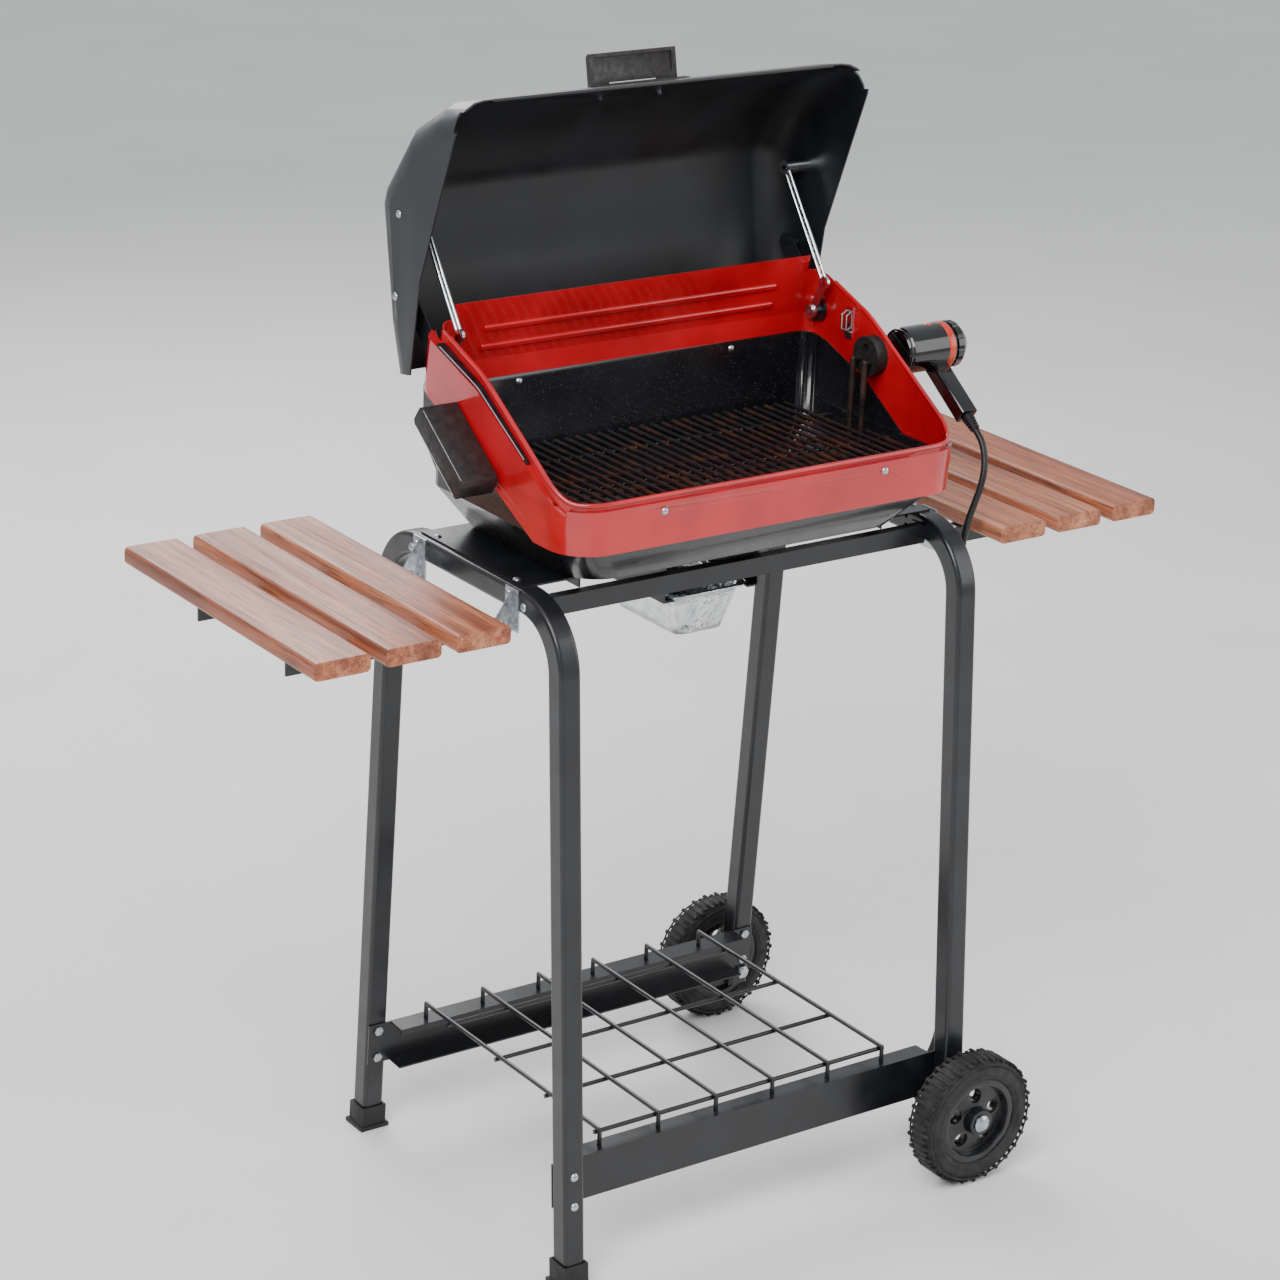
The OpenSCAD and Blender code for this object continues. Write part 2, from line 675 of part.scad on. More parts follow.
module grid_rests() {
  color("#1c1d20") for (s = [0, 1]) mirror([s, 0, 0]) {
    x0 = bw - 2 * body_t - pan_gap;
    z0 = grid_z - 1.5 * grid_rod - 0.3 - gap - sheet_t;
    translate([-x0, front_y + 50, z0]) cube([sheet_t, 176, 12]);
    translate([-x0, front_y + 50, z0]) cube([14, 176, sheet_t]);
  }
}

module reflector_pan() {
  color("#8a8d90") translate([0, 0, floor_z + body_t]) difference() {
    linear_extrude(20) plan(bw * 0.76, front_y + 56, back_y - 40, plan_r);
    translate([0, 0, 1.2]) linear_extrude(20) plan(bw * 0.76 - 1.2, front_y + 57.2, back_y - 41.2,
      plan_r - 1.2);
    cylinder(h = 60, r = 9, center = true);
    for (s = [-1, 1], y = [-50, 50]) translate([s * 52, y, 0]) cylinder(h = 20, r = 6, center = true);
  }
}

element_d = 7;
element_z = floor_z + 48;
element_ys = [-110, -60, -10, 40];
element_x = 180;

module half_ring(x, y, r, turn) {
  translate([x, y, element_z]) rotate([0, 0, turn]) rotate_extrude(angle = 180, $fn = 64)
    translate([r, 0]) circle(d = element_d, $fn = 24);
}

module heating_element() {
  lead_x = bw - 24;
  color("#3a3b3e") {
    for (y = element_ys) rod([-element_x, y, element_z], [element_x, y, element_z], element_d);
    half_ring(-element_x, -85, 25, 90);
    half_ring(element_x, -35, 25, 270);
    half_ring(-element_x, 15, 25, 90);
    for (p = [[-110, block_y - 10], [40, block_y + 10]]) {
      rod([element_x, p[0], element_z], [lead_x, p[0], element_z], element_d);
      ball([lead_x, p[0], element_z], element_d);
      rod([lead_x, p[0], element_z], [lead_x, p[1], element_z], element_d);
      ball([lead_x, p[1], element_z], element_d);
      rod([lead_x, p[1], element_z], [lead_x, p[1], block_z - 4], element_d);
      ball([lead_x, p[1], block_z - 4], element_d);
      rod([lead_x, p[1], block_z - 4], [bw - body_t - 14, p[1], block_z - 4], element_d);
    }
  }
}

module terminal_block() {
  color("#1b1d1c") difference() {
    union() {
      translate([bw - body_t - 14, block_y, block_z]) rotate([0, 90, 0]) cylinder(h = 14, r = block_r);
      translate([bw - body_t, block_y, block_z]) rotate([0, 90, 0]) cylinder(h = barrel_x - bw + body_t, r = neck_r);
    }
    translate([bw - body_t - 15, block_y, block_z + 9]) rotate([0, 90, 0]) cylinder(h = 9, r = 5);
  }
}

module spit_clip() {
  color("#c9ccd0") {
    x = bw - body_t;
    translate([x - 1.5, 34, floor_z + 160]) cube([1.5, 12, 36]);
    for (y = [36, 44]) {
      rod([x - 1.5, y, floor_z + 191], [x - 8, y, floor_z + 187], 2.4);
      ball([x - 8, y, floor_z + 187], 2.4);
      rod([x - 8, y, floor_z + 187], [x - 8, y, floor_z + 171], 2.4);
      ball([x - 8, y, floor_z + 171], 2.4);
      rod([x - 8, y, floor_z + 171], [x - 1.5, y, floor_z + 167], 2.4);
    }
  }
}

/* controller and cord */

module controller_housing() {
  color("#101114") translate([barrel_x, barrel_y, barrel_z]) rotate([0, 90, 0]) difference() {
    rotate_extrude() polygon([[0, 0], [barrel_r - 4, 0], [barrel_r, 5], [barrel_r, barrel_l - 3],
      [barrel_r - 1.5, barrel_l], [4 + fit, barrel_l], [4 + fit, barrel_l - 12], [0, barrel_l - 12]]);
    translate([-barrel_r + 1.5, 0, 40]) rotate([0, -90, 0]) cylinder(h = 10, r = 4);
  }
}

module pilot_lens() {
  color("#e02010") translate([barrel_x + 40, barrel_y, barrel_z + barrel_r - 1.5]) intersection() {
    cylinder(h = 5, r = 4);
    translate([0, 0, -2.4]) sphere(5.4);
  }
}

module dial() {
  color("#1a1b1e") translate([barrel_x + barrel_l, barrel_y, barrel_z]) rotate([0, 90, 0]) {
    translate([0, 0, -11]) cylinder(h = 12, r = 4);
    difference() {
      translate([0, 0, gap]) rotate_extrude() polygon([[0, 0], [barrel_r, 0], [barrel_r, dial_l - 8],
        [barrel_r - 7, dial_l], [0, dial_l]]);
      for (a = [0 : 30 : 330]) rotate([0, 0, a]) translate([barrel_r + 1.4, 0, -1])
        cylinder(h = dial_l + 2, r = 2.4);
    }
  }
}

module on_grip() {
  translate([grip_end[0], grip_end[1], grip_end[2]]) rotate([-54, 0, 0]) children();
}

module controller_grip() {
  color("#16171a") difference() {
    on_grip() linear_extrude(80) rounded_rect(22, 19, 4);
    translate([barrel_x - 1, barrel_y, barrel_z]) rotate([0, 90, 0]) cylinder(h = barrel_l + 1, r = barrel_r + 0.02);
  }
}

module strain_relief() {
  color("#141517") on_grip() translate([0, 0, -20]) rotate_extrude()
    polygon([[0, 0], [cord_d / 2 + 0.8, 0], [cord_d / 2 + 2.8, 20], [0, 20]]);
}

function unit(v) = v / norm(v);

// Ring of points around p, square to the direction t
function ring(p, t, r, n) = let (u = unit(cross(t, abs(t[0]) < 0.8 ? [1, 0, 0] : [0, 1, 0])), v = cross(t, u))
  [for (k = [0 : n - 1]) p + r * (cos(360 * k / n) * u + sin(360 * k / n) * v)];

// Point of a smooth curve through four neighbouring points
function curve(a, b, c, d, t) = 0.5 * (2 * b + (c - a) * t + (2 * a - 5 * b + 4 * c - d) * t * t
  + (3 * b - a - 3 * c + d) * t * t * t);

cord_start = grip_end + 20 * [0, -sin(54), -cos(54)];
cord_route = concat([cord_start], cord_points);
cord_steps = 4;

function route_point(i, t) = let (n = len(cord_route) - 1)
  curve(cord_route[max(0, i - 1)], cord_route[i], cord_route[min(n, i + 1)], cord_route[min(n, i + 2)], t);

module power_cord() {
  n = len(cord_route);
  sides = 10;
  centres = concat([for (i = [0 : n - 2], k = [0 : cord_steps - 1]) route_point(i, k / cord_steps)],
    [cord_route[n - 1]]);
  m = len(centres);
  tangents = [for (i = [0 : m - 1]) i == 0 ? [0, -sin(54), -cos(54)]
    : unit(centres[min(m - 1, i + 1)] - centres[i - 1])];
  points = [for (i = [0 : m - 1]) each ring(centres[i], tangents[i], cord_d / 2, sides)];
  faces = concat([[for (k = [sides - 1 : -1 : 0]) k]],
    [for (i = [0 : m - 2], k = [0 : sides - 1]) let (a = i * sides + k, b = i * sides + (k + 1) % sides)
      [a, b, b + sides, a + sides]],
    [[for (k = [0 : sides - 1]) (m - 1) * sides + k]]);
  color("#101012") polyhedron(points, faces);
}

module cord_coil() {
  color("#101012") translate([coil_c[0], coil_c[1], 0]) rotate_extrude()
    translate([coil_r - cord_d, 0]) square([2 * cord_d, coil_layers * cord_d]);
}

// Tail on the floor, tangent to the coil's outer turn, then the body and its blades
module plug() {
  tail = sqrt(pow(coil_r + cord_d, 2) - pow(coil_r, 2));
  color("#141416") translate([coil_c[0], coil_c[1] + coil_r + cord_d / 2, 0]) {
    translate([tail, 0, cord_d / 2]) rotate([0, 90, 0]) cylinder(h = 10, d = cord_d);
    translate([tail + 9, -8, 0]) cube([22, 16, 14]);
    for (y = [-5, 4]) translate([tail + 30, y, 4]) cube([12, 1.4, 6]);
  }
}

/* foil pan under the body */

foil_w = 90;
foil_l = 146;
foil_y = 12.5;
foil_top = floor_z - 62;
foil_h = 50;

module foil_pan_rails() {
  color("#1c1d20") for (s = [0, 1]) mirror([s, 0, 0]) difference() {
    union() {
      translate([-62, -62, floor_z - sheet_t]) cube([20, 150, sheet_t]);
      translate([-62, -62, foil_top - 3.5]) cube([sheet_t, 150, floor_z - foil_top + 3.5]);
      translate([-62, -62, foil_top - 3.5]) cube([14, 150, sheet_t]);
      translate([-62, 86, foil_top - 3.5]) cube([14, sheet_t, 12]);
    }
    for (y = [-50, 50]) translate([-52, y, floor_z]) cylinder(h = 20, r = 2 + screw_gap, center = true);
  }
  color("#c9ccd0") for (x = [-52, 52], y = [-50, 50]) translate([x, y, floor_z - sheet_t])
    rotate([180, 0, 0]) screw(2, sheet_t + body_t + 2.4);
}

module foil_solid(t) {
  hull() {
    translate([0, foil_y, foil_top - (t > 0 ? -1 : 0)]) linear_extrude(0.1)
      rounded_rect(foil_w - 2 * t, foil_l - 6 - 2 * t, 14, $fn = 32);
    translate([0, foil_y, foil_top - foil_h + t]) linear_extrude(0.1)
      rounded_rect(foil_w - 28 - 2 * t, foil_l - 30 - 2 * t, 12, $fn = 32);
  }
}

module foil_pan() {
  color("#d8dadd") difference() {
    union() {
      foil_solid(0);
      translate([0, foil_y, foil_top - 1.2 + 0.1]) linear_extrude(1.2) rounded_rect(foil_w + 18, foil_l, 14);
    }
    foil_solid(1);
  }
}

/* grid */

module cooking_grid() {
  n = floor(2 * (grid_w - 6) / grid_pitch / 2);
  color("#26272a") {
    for (i = [-n : n]) {
      x = i * grid_pitch;
      rod([x, grid_front, grid_z], [x, x > bw - 38 ? block_y - 24 : grid_back, grid_z], grid_rod);
    }
    for (y = [-105, -50, 50]) rod([-grid_w, y, grid_z - grid_rod], [grid_w, y, grid_z - grid_rod],
      grid_rod + 0.6);
  }
}

/* side tables */

module board(side, i) {
  color("#b5603c") mirror([side > 0 ? 1 : 0, 0, 0]) difference() {
    translate([-board_x(i), table_y, board_z + board_t / 2]) rotate([90, 0, 0])
      linear_extrude(board_l, center = true) rounded_rect(board_w, board_t, board_round);
    for (y = arm_ys) translate([-board_x(i), y + 9, board_z]) cylinder(h = 24, r = 1.8, center = true);
  }
}

module left_inner_board() board(-1, 0);
module left_middle_board() board(-1, 1);
module left_outer_board() board(-1, 2);
module right_inner_board() board(1, 0);
module right_middle_board() board(1, 1);
module right_outer_board() board(1, 2);

module table_arms(side) {
  x0 = pivot_x - 9;
  x1 = table_out - 8;
  color("#1a1b1e") mirror([side > 0 ? 1 : 0, 0, 0]) for (y = arm_ys) difference() {
    union() {
      translate([-x1, y - 1 + gap, board_z - arm_h]) cube([x1 - x0, arm_t, arm_h]);
      translate([-x1, y - 1 + gap, board_z - sheet_t]) cube([x1 - board_in, 18, sheet_t]);
    }
    translate([-pivot_x, y, pivot_z]) rotate([90, 0, 0]) cylinder(h = 20, r = 3 + fit, center = true);
    for (i = [0 : 2]) translate([-board_x(i), y + 9, board_z]) cylinder(h = 20, r = 2 + screw_gap, center = true);
  }
}

module left_table_arms() table_arms(-1);
module right_table_arms() table_arms(1);

module board_screws(side) {
  color("#c9ccd0") mirror([side > 0 ? 1 : 0, 0, 0]) for (y = arm_ys, i = [0 : 2])
    translate([-board_x(i), y + 9, board_z - sheet_t]) rotate([180, 0, 0]) screw(1.8, 11, 2, nut = false);
}

module left_board_screws() board_screws(-1);
module right_board_screws() board_screws(1);

/* hood */

// Turns what is drawn in the shut position to the open rest position
module opened() {
  translate([0, hinge_y, hinge_z]) rotate([-hood_open, 0, 0]) translate([0, -hinge_y, -hinge_z]) children();
}

module hood_solid(t) {
  steps = 5;
  hull() for (k = [0 : steps]) {
    a = 90 * k / steps;
    rotate([90, 0, 90]) linear_extrude(2 * (hood_w - t - hood_round * (1 - sin(a))), center = true)
      offset(delta = -t - hood_round * (1 - cos(a))) polygon(hood_shape);
  }
}

module hood() {
  color("#1b1c20") opened() difference() {
    hood_solid(0);
    hood_solid(hood_t);
    below(function (y) y < hood_front + 10 ? hood_lip_z : ledge(y) + 1, concat([-260, hood_front + 9.9, hood_front + 10],
      [for (i = [1 : 6]) rim_ys[i]]), floor = 600);
    translate([-400, hood_back, 700]) cube([800, 200, 500]);
    hood_screw_holes();
  }
}

// Places of the hood's side screws in the shut position, as [y, z]
plate_screw = [hinge_y - 72, hinge_z + 52];
stay_screw = [hinge_y - 158, hinge_z + 30];
handle_screw_x = [-38, 38];
handle_screw_z = rim_z + 61;

module hood_screw_holes() {
  for (p = [plate_screw, stay_screw]) translate([0, p[0], p[1]]) rotate([0, 90, 0])
    cylinder(h = 700, r = 2.5 + screw_gap, center = true);
  for (x = handle_screw_x) translate([x, hood_face(handle_screw_z), handle_screw_z])
    rotate([90 - atan(hood_slope), 0, 0]) cylinder(h = 30, r = 2.5 + screw_gap, center = true);
}

module hood_handle() {
  z0 = rim_z + 30;
  z1 = rim_z + 70;
  zp = rim_z + 49;
  reach = hood_front - 30;
  color("#17181b") opened() difference() {
    union() {
      side_prism([[hood_face(z0), z0], [hood_face(z1), z1], [hood_face(z1) - 3, z1],
        [hood_face(z0) - 3, z0]], 58);
      difference() {
        side_prism([[hood_face(zp) - 1, zp], [hood_face(zp + 7) - 1, zp + 7], [reach, zp + 7], [reach - 3, zp + 3],
          [reach - 3, zp]], 55);
        translate([-49, reach + 1, zp - 1]) cube([98, 22, 2.5]);
        translate([-32, hood_front - 2, zp - 1]) cube([64, 5, 20]);
      }
    }
    hood_screw_holes();
  }
}

module hinge_plates() {
  color("#26282c") opened() for (s = [0, 1]) mirror([s, 0, 0]) difference() {
    union() {
      hull() {
        translate([-plate_x - plate_t, hinge_y, hinge_z]) rotate([0, 90, 0]) cylinder(h = plate_t, r = 13, $fn = 32);
        translate([-plate_x - plate_t, plate_screw[0], plate_screw[1]]) rotate([0, 90, 0])
          cylinder(h = plate_t, r = 12, $fn = 32);
      }
      // spacer, which stops short of the hood where its side starts to round
      translate([-hood_w + hood_t + 0.9, plate_screw[0], plate_screw[1]]) rotate([0, 90, 0])
        cylinder(h = hood_w - hood_t - 0.9 - plate_x - plate_t, r = 5);
    }
    translate([0, hinge_y, hinge_z]) rotate([0, 90, 0]) cylinder(h = 700, r = pin_r + fit, center = true);
    translate([0, plate_screw[0], plate_screw[1]]) rotate([0, 90, 0]) cylinder(h = 700, r = 2.5 + screw_gap, center = true);
  }
}

// Stay with an eye on the hinge pin, twin wires and a boss on the hood's side
module hood_stay() {
  knee_y = hinge_y - 32;
  knee_z = hinge_z - 28;
  lean = atan2(-28, 32);
  difference() {
    union() {
      translate([-stay_x - 1.6, hinge_y, hinge_z]) rotate([0, 90, 0]) cylinder(h = 3.2, r = pin_r + 4);
      translate([-stay_x - 1.5, hinge_y, hinge_z]) rotate([180 - lean, 0, 0])
        translate([0, 0, -4.5]) cube([3, norm([32, 28]), 9]);
      translate([-stay_x - 1.6, knee_y, knee_z]) rotate([0, 90, 0]) cylinder(h = 3.2, r = 7);
      for (dz = [-4, 4]) rod([-stay_x, knee_y + 1, knee_z + dz], [-stay_x, stay_screw[0], stay_screw[1] + dz],
        stay_wire);
      translate([-hood_w + hood_t, stay_screw[0], stay_screw[1]]) rotate([0, 90, 0])
        cylinder(h = hood_w - hood_t - stay_x + 3, r = 8);
    }
    translate([-stay_x - 5, hinge_y, hinge_z]) rotate([0, 90, 0]) cylinder(h = 10, r = pin_r + fit);
    translate([-hood_w, stay_screw[0], stay_screw[1]]) rotate([0, 90, 0])
      cylinder(h = 40, r = 2.5 + screw_gap);
  }
}

module hood_stays() {
  color("#d4d7da") opened() for (s = [0, 1]) mirror([s, 0, 0]) hood_stay();
}

module hood_screws() {
  color("#c9ccd0") opened() {
    for (s = [0, 1], p = [plate_screw, stay_screw]) mirror([s, 0, 0]) translate([-hood_w, p[0], p[1]])
      rotate([0, -90, 0]) screw(2.5, 11, nut = false);
    for (x = handle_screw_x) translate([x, hood_face(handle_screw_z), handle_screw_z])
      rotate([90 - atan(hood_slope), 0, 0]) translate([0, 0, 3 * cos(atan(hood_slope))])
      screw(2.5, 7, nut = false);
  }
}

left_leg_frame();
right_leg_frame();
left_feet();
front_lower_rail();
rear_lower_rail();
front_upper_rail();
rear_upper_rail();
wire_shelf();
rail_screws();
table_brackets();
front_axle_bolt();
rear_axle_bolt();
body_supports();
support_screws();
lower_pan();
rear_cover();
bowl_casing();
bowl_liner();
bowl_screws();
rim_trims();
carry_handle();
carry_handle_screws();
hinge_pins();
grid_rests();
reflector_pan();
heating_element();
terminal_block();
spit_clip();
controller_housing();
pilot_lens();
controller_grip();
strain_relief();
power_cord();
cord_coil();
plug();
foil_pan_rails();
front_tyre();
front_wheel_hub();
rear_tyre();
rear_wheel_hub();
left_inner_board();
left_middle_board();
left_outer_board();
left_table_arms();
left_board_screws();
right_inner_board();
right_middle_board();
right_outer_board();
right_table_arms();
right_board_screws();
hood();
hood_handle();
hinge_plates();
hood_stays();
hood_screws();
dial();
cooking_grid();
foil_pan();
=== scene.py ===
# %% [markdown]
# An electric cart grill: a red enamelled bowl with a black hood, on a black tube cart with
# two wheels and slatted side tables. The structure comes from the CAD frame, and this lesson
# gives it its camera, its light, its finishes and the pressed, rolled and moulded details.
# Everything is in metres, X to the right, Y to the back and Z up.

# %% Load the frame
import json
import math

import bpy
from mathutils import Matrix, Vector


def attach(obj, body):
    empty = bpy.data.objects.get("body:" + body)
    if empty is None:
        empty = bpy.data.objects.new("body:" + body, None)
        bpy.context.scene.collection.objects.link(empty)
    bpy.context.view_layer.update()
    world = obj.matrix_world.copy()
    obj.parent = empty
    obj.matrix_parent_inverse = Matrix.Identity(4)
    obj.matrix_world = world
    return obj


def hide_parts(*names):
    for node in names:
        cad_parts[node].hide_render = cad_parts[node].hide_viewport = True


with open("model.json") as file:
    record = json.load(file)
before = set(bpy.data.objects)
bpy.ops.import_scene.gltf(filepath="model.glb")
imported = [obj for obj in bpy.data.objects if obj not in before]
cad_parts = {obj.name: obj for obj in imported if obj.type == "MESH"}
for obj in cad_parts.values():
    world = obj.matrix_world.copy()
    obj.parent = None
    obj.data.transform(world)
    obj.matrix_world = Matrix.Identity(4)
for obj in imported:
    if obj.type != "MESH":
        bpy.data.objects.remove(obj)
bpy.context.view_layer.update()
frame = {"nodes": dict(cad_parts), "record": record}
nodes = frame["nodes"]
body_of_node = {n: b for b, names in frame["record"]["behaviour"]["bodies"].items() for n in names}
slot_of_node = {s["node"]: s["material_slot"] for s in frame["record"]["subparts"]}
MM = 0.001

# %% [markdown]
# The camera stands at the left front, a little above the hood's edge, and looks down with a
# long lens, so the legs stay nearly parallel. Its axes are worked out from three angles: the
# turn about Z, the tilt below the horizon and a small roll.

# %% Camera
turn, tilt, roll = (math.radians(a) for a in (-35.37, 20.19, 2.14))
camera_place = (-2.1318, -2.9372, 1.9459)
lens_mm = 103.9 * 0.965
right = Vector((math.cos(turn), math.sin(turn), 0))
ahead = Vector((-math.sin(turn) * math.cos(tilt), math.cos(turn) * math.cos(tilt), -math.sin(tilt)))
above = right.cross(ahead)
side = math.cos(roll) * right + math.sin(roll) * above
top = -math.sin(roll) * right + math.cos(roll) * above
bpy.ops.object.select_all(action="DESELECT")
bpy.ops.object.camera_add()
camera = bpy.context.object
camera.matrix_world = Matrix.Translation(camera_place) @ Matrix((side, top, -ahead)).transposed().to_4x4()
camera.data.sensor_width = 36
camera.data.lens = lens_mm
bpy.context.scene.camera = camera
print("camera looks along", [round(v, 3) for v in ahead])

# %% [markdown]
# The power cord leaves the strain relief under the controller's grip, hangs down beside the
# right legs and is wound into a neat coil on the floor behind the front wheel. Listed points
# lead down to the floor, and a loop works out the turns.
# The coil goes round the inner ring first, then steps out, down, and in again, always a cord's
# width away from its neighbour, and ends in a straight tail to the plug.

# %% Cord route
cord_d = 7.5
grip_end = Vector((310, -96, 848))
grip_tilt = math.radians(54)
down = Vector((0, -math.sin(grip_tilt), -math.cos(grip_tilt)))
cord_start = Vector((310, -96 - 20 * math.sin(grip_tilt), 848 - 20 * math.cos(grip_tilt)))
hang = [(309.5, -124, 826), (307, -133, 812.5), (303, -138.5, 797), (298, -140, 780),
        (292.5, -138.5, 762), (287.5, -136, 742), (284, -134, 715), (282.3, -134, 670),
        (282, -137, 600), (282, -143, 500), (282, -149, 400), (282, -155, 300), (282, -159, 215),
        (282, -157, 165), (282, -149, 125), (281.4, -138.5, 97), (280.5, -128, 72),
        (280, -122.6, 54), (282.6, -122, 39.8), (290, -122, 28.8), (301, -122, 21.4),
        (314, -122, 18.8)]
coil_centre = Vector((314, -166, 0))
coil_r = 44


def eased(x, a, b):
    """0 before a, 1 after b and smooth between."""
    t = min(1, max(0, (x - a) / (b - a)))
    return t * t * (3 - 2 * t)


inner, outer = coil_r - cord_d / 2, coil_r + cord_d / 2
first_angle = 90
coil_turns = 3
coil_points = []
coil_steps = coil_turns * 30
for k in range(2, coil_steps + 1):
    n = coil_turns * k / coil_steps
    r = coil_r + (outer - coil_r) * eased(n, 0, 0.12)
    r += (inner - outer) * eased(n, 0.8, 1.0) + (outer - inner) * eased(n, 2.4, 2.6)
    z = 18.8 - 7.55 * eased(n, 0.06, 0.25) - 7.5 * eased(n, 1.6, 1.8)
    a = math.radians(first_angle - 360 * n)
    coil_points.append(coil_centre + Vector((r * math.cos(a), r * math.sin(a), z)))
tail_length = 36
tail = [coil_centre + Vector((x, outer, cord_d / 2)) for x in (9, 18, 27, tail_length)]
route = [cord_start] + [Vector(p) for p in hang] + coil_points + tail
print("coil turns", coil_turns, "points", len(route))


# %% [markdown]
# Round tubes make the cord, every rolled edge and the painted highlight lines. A smooth line runs
# through the given points, a round bevel gives it its thickness, and the result is turned into a mesh.

# %% Cord
def only(piece):
    """Selects this piece alone and makes it active."""
    bpy.ops.object.select_all(action="DESELECT")
    piece.select_set(True)
    bpy.context.view_layer.objects.active = piece


def smooth_line(points_mm, closed=False, steps=4):
    """Points of a smooth curve through the given ones."""
    pts = [Vector(p) for p in points_mm]
    count = len(pts)
    made = []
    for i in range(count if closed else count - 1):
        if closed:
            p, q, r, s = (pts[(i + k) % count] for k in (-1, 0, 1, 2))
        else:
            p, q, r, s = (pts[min(count - 1, max(0, i + k))] for k in (-1, 0, 1, 2))
        for k in range(steps):
            t = k / steps
            made.append(0.5 * (2 * q + (r - p) * t + (2 * p - 5 * q + 4 * r - s) * t * t
                               + (3 * q - p - 3 * r + s) * t ** 3))
    return made if closed else made + [pts[-1]]


def round_tube(name, points_mm, radius_mm, closed=False, sides=5, steps=4):
    """A round tube along a smooth line through points, as a smooth mesh."""
    line = smooth_line(points_mm, closed, steps) if steps > 1 else [Vector(p) for p in points_mm]
    data = bpy.data.curves.new(name, "CURVE")
    data.dimensions = "3D"
    data.bevel_depth = radius_mm * MM
    data.bevel_resolution = sides
    data.use_fill_caps = True
    spline = data.splines.new("POLY")
    spline.points.add(len(line) - 1)
    for point, p in zip(spline.points, line):
        point.co = (p.x * MM, p.y * MM, p.z * MM, 1)
    spline.use_cyclic_u = closed
    piece = bpy.data.objects.new(name, data)
    bpy.context.scene.collection.objects.link(piece)
    only(piece)
    bpy.ops.object.convert(target="MESH")
    bpy.ops.object.shade_smooth()
    return bpy.context.object


def edge_tube(name, points_mm, radius_mm, slot, body, closed=False, sides=3, steps=4):
    """The same tube with its finish, riding on a body."""
    piece = round_tube(name, points_mm, radius_mm, closed, sides, steps)
    piece.data.materials.clear()
    piece.data.materials.append(finishes[slot])
    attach(piece, body)


sheath_thinner = 0.03
cord = round_tube("power_cord_run", route, cord_d / 2 - sheath_thinner)
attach(cord, "cart")
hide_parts("power_cord", "cord_coil")

# %% [markdown]
# The finishes. Each starts from the real material: what it is called, how its surface was
# made and what that gives the eye. Colours are written as the hex values a painter would pick,
# and one function turns them to linear light. One small function adds a node.


# %% Colour and node helpers
def paint(code):
    """Linear colour from a hex code."""
    parts = [int(code[i:i + 2], 16) / 255 for i in (1, 3, 5)]
    return [c / 12.92 if c <= 0.04045 else ((c + 0.055) / 1.055) ** 2.4 for c in parts] + [1]


def add(mat, kind, inputs=(), **settings):
    """Adds a node, sets what is a value and links what is an output."""
    node = mat.node_tree.nodes.new(kind)
    for key, value in settings.items():
        setattr(node, key, value)
    for key, value in dict(inputs).items():
        if isinstance(value, bpy.types.NodeSocket):
            mat.node_tree.links.new(value, node.inputs[key])
        else:
            node.inputs[key].default_value = value
    return node


def finish_named(name, **shader):
    """A new material with its shader's own sockets set, and its Object coordinates."""
    mat = bpy.data.materials.new(name)
    mat.use_nodes = True
    surface = mat.node_tree.nodes["Principled BSDF"]
    for key, value in shader.items():
        surface.inputs[key.replace("_", " ").title().replace("Ior", "IOR")].default_value = value
    place = add(mat, "ShaderNodeTexCoord").outputs["Object"]
    return mat, surface, place


def shades(mat, amount, places, codes):
    """A colour output that runs through the codes at these places of an amount."""
    ramp = add(mat, "ShaderNodeValToRGB", {"Fac": amount})
    for extra in places[2:]:
        ramp.color_ramp.elements.new(extra)
    for stop, where, code in zip(ramp.color_ramp.elements, places, codes):
        stop.position, stop.color = where, paint(code)
    return ramp.outputs["Color"]


def mottle(mat, surface, place, low, high, size_mm, span=(0.35, 0.65)):
    """Base colour that wanders between two colours over size_mm."""
    cloud = add(mat, "ShaderNodeTexNoise", {"Vector": place, "Scale": 1 / (size_mm * MM), "Detail": 5})
    colours = shades(mat, cloud.outputs["Fac"], span, (low, high))
    mat.node_tree.links.new(colours, surface.inputs["Base Color"])


def vary_gloss(mat, surface, place, low, high, size_mm):
    """Roughness that wanders between low and high over size_mm."""
    cloud = add(mat, "ShaderNodeTexNoise", {"Vector": place, "Scale": 1 / (size_mm * MM), "Detail": 4})
    spread = add(mat, "ShaderNodeMapRange", {"Value": cloud.outputs["Fac"], "From Min": 0.3, "From Max": 0.7,
                                             "To Min": low, "To Max": high})
    mat.node_tree.links.new(spread.outputs["Result"], surface.inputs["Roughness"])


def relief(mat, surface, height, depth_mm, strength=1.0):
    """Bump from a height output, depth_mm deep."""
    bump = add(mat, "ShaderNodeBump", {"Height": height, "Distance": depth_mm * MM, "Strength": strength})
    mat.node_tree.links.new(bump.outputs["Normal"], surface.inputs["Normal"])


finishes = {}

# %% [markdown]
# Vitreous enamel on pressed steel is glass fused to the sheet: a deep colour under a hard,
# clear gloss, with a faint orange peel of a few millimetres. Around the heat it darkens
# unevenly, so the red wanders a little.

# %% Red enamel
mat, surface, place = finish_named("glossy red vitreous enamel", coat_weight=0.7, coat_roughness=0.05)
mottle(mat, surface, place, "#A80A14", "#C8121E", 90)
vary_gloss(mat, surface, place, 0.16, 0.27, 60)
peel = add(mat, "ShaderNodeTexNoise", {"Vector": place, "Scale": 1 / (5 * MM), "Detail": 1})
relief(mat, surface, peel.outputs["Fac"], 0.06, 0.35)
finishes["red_enamel"] = mat
print(mat.name)
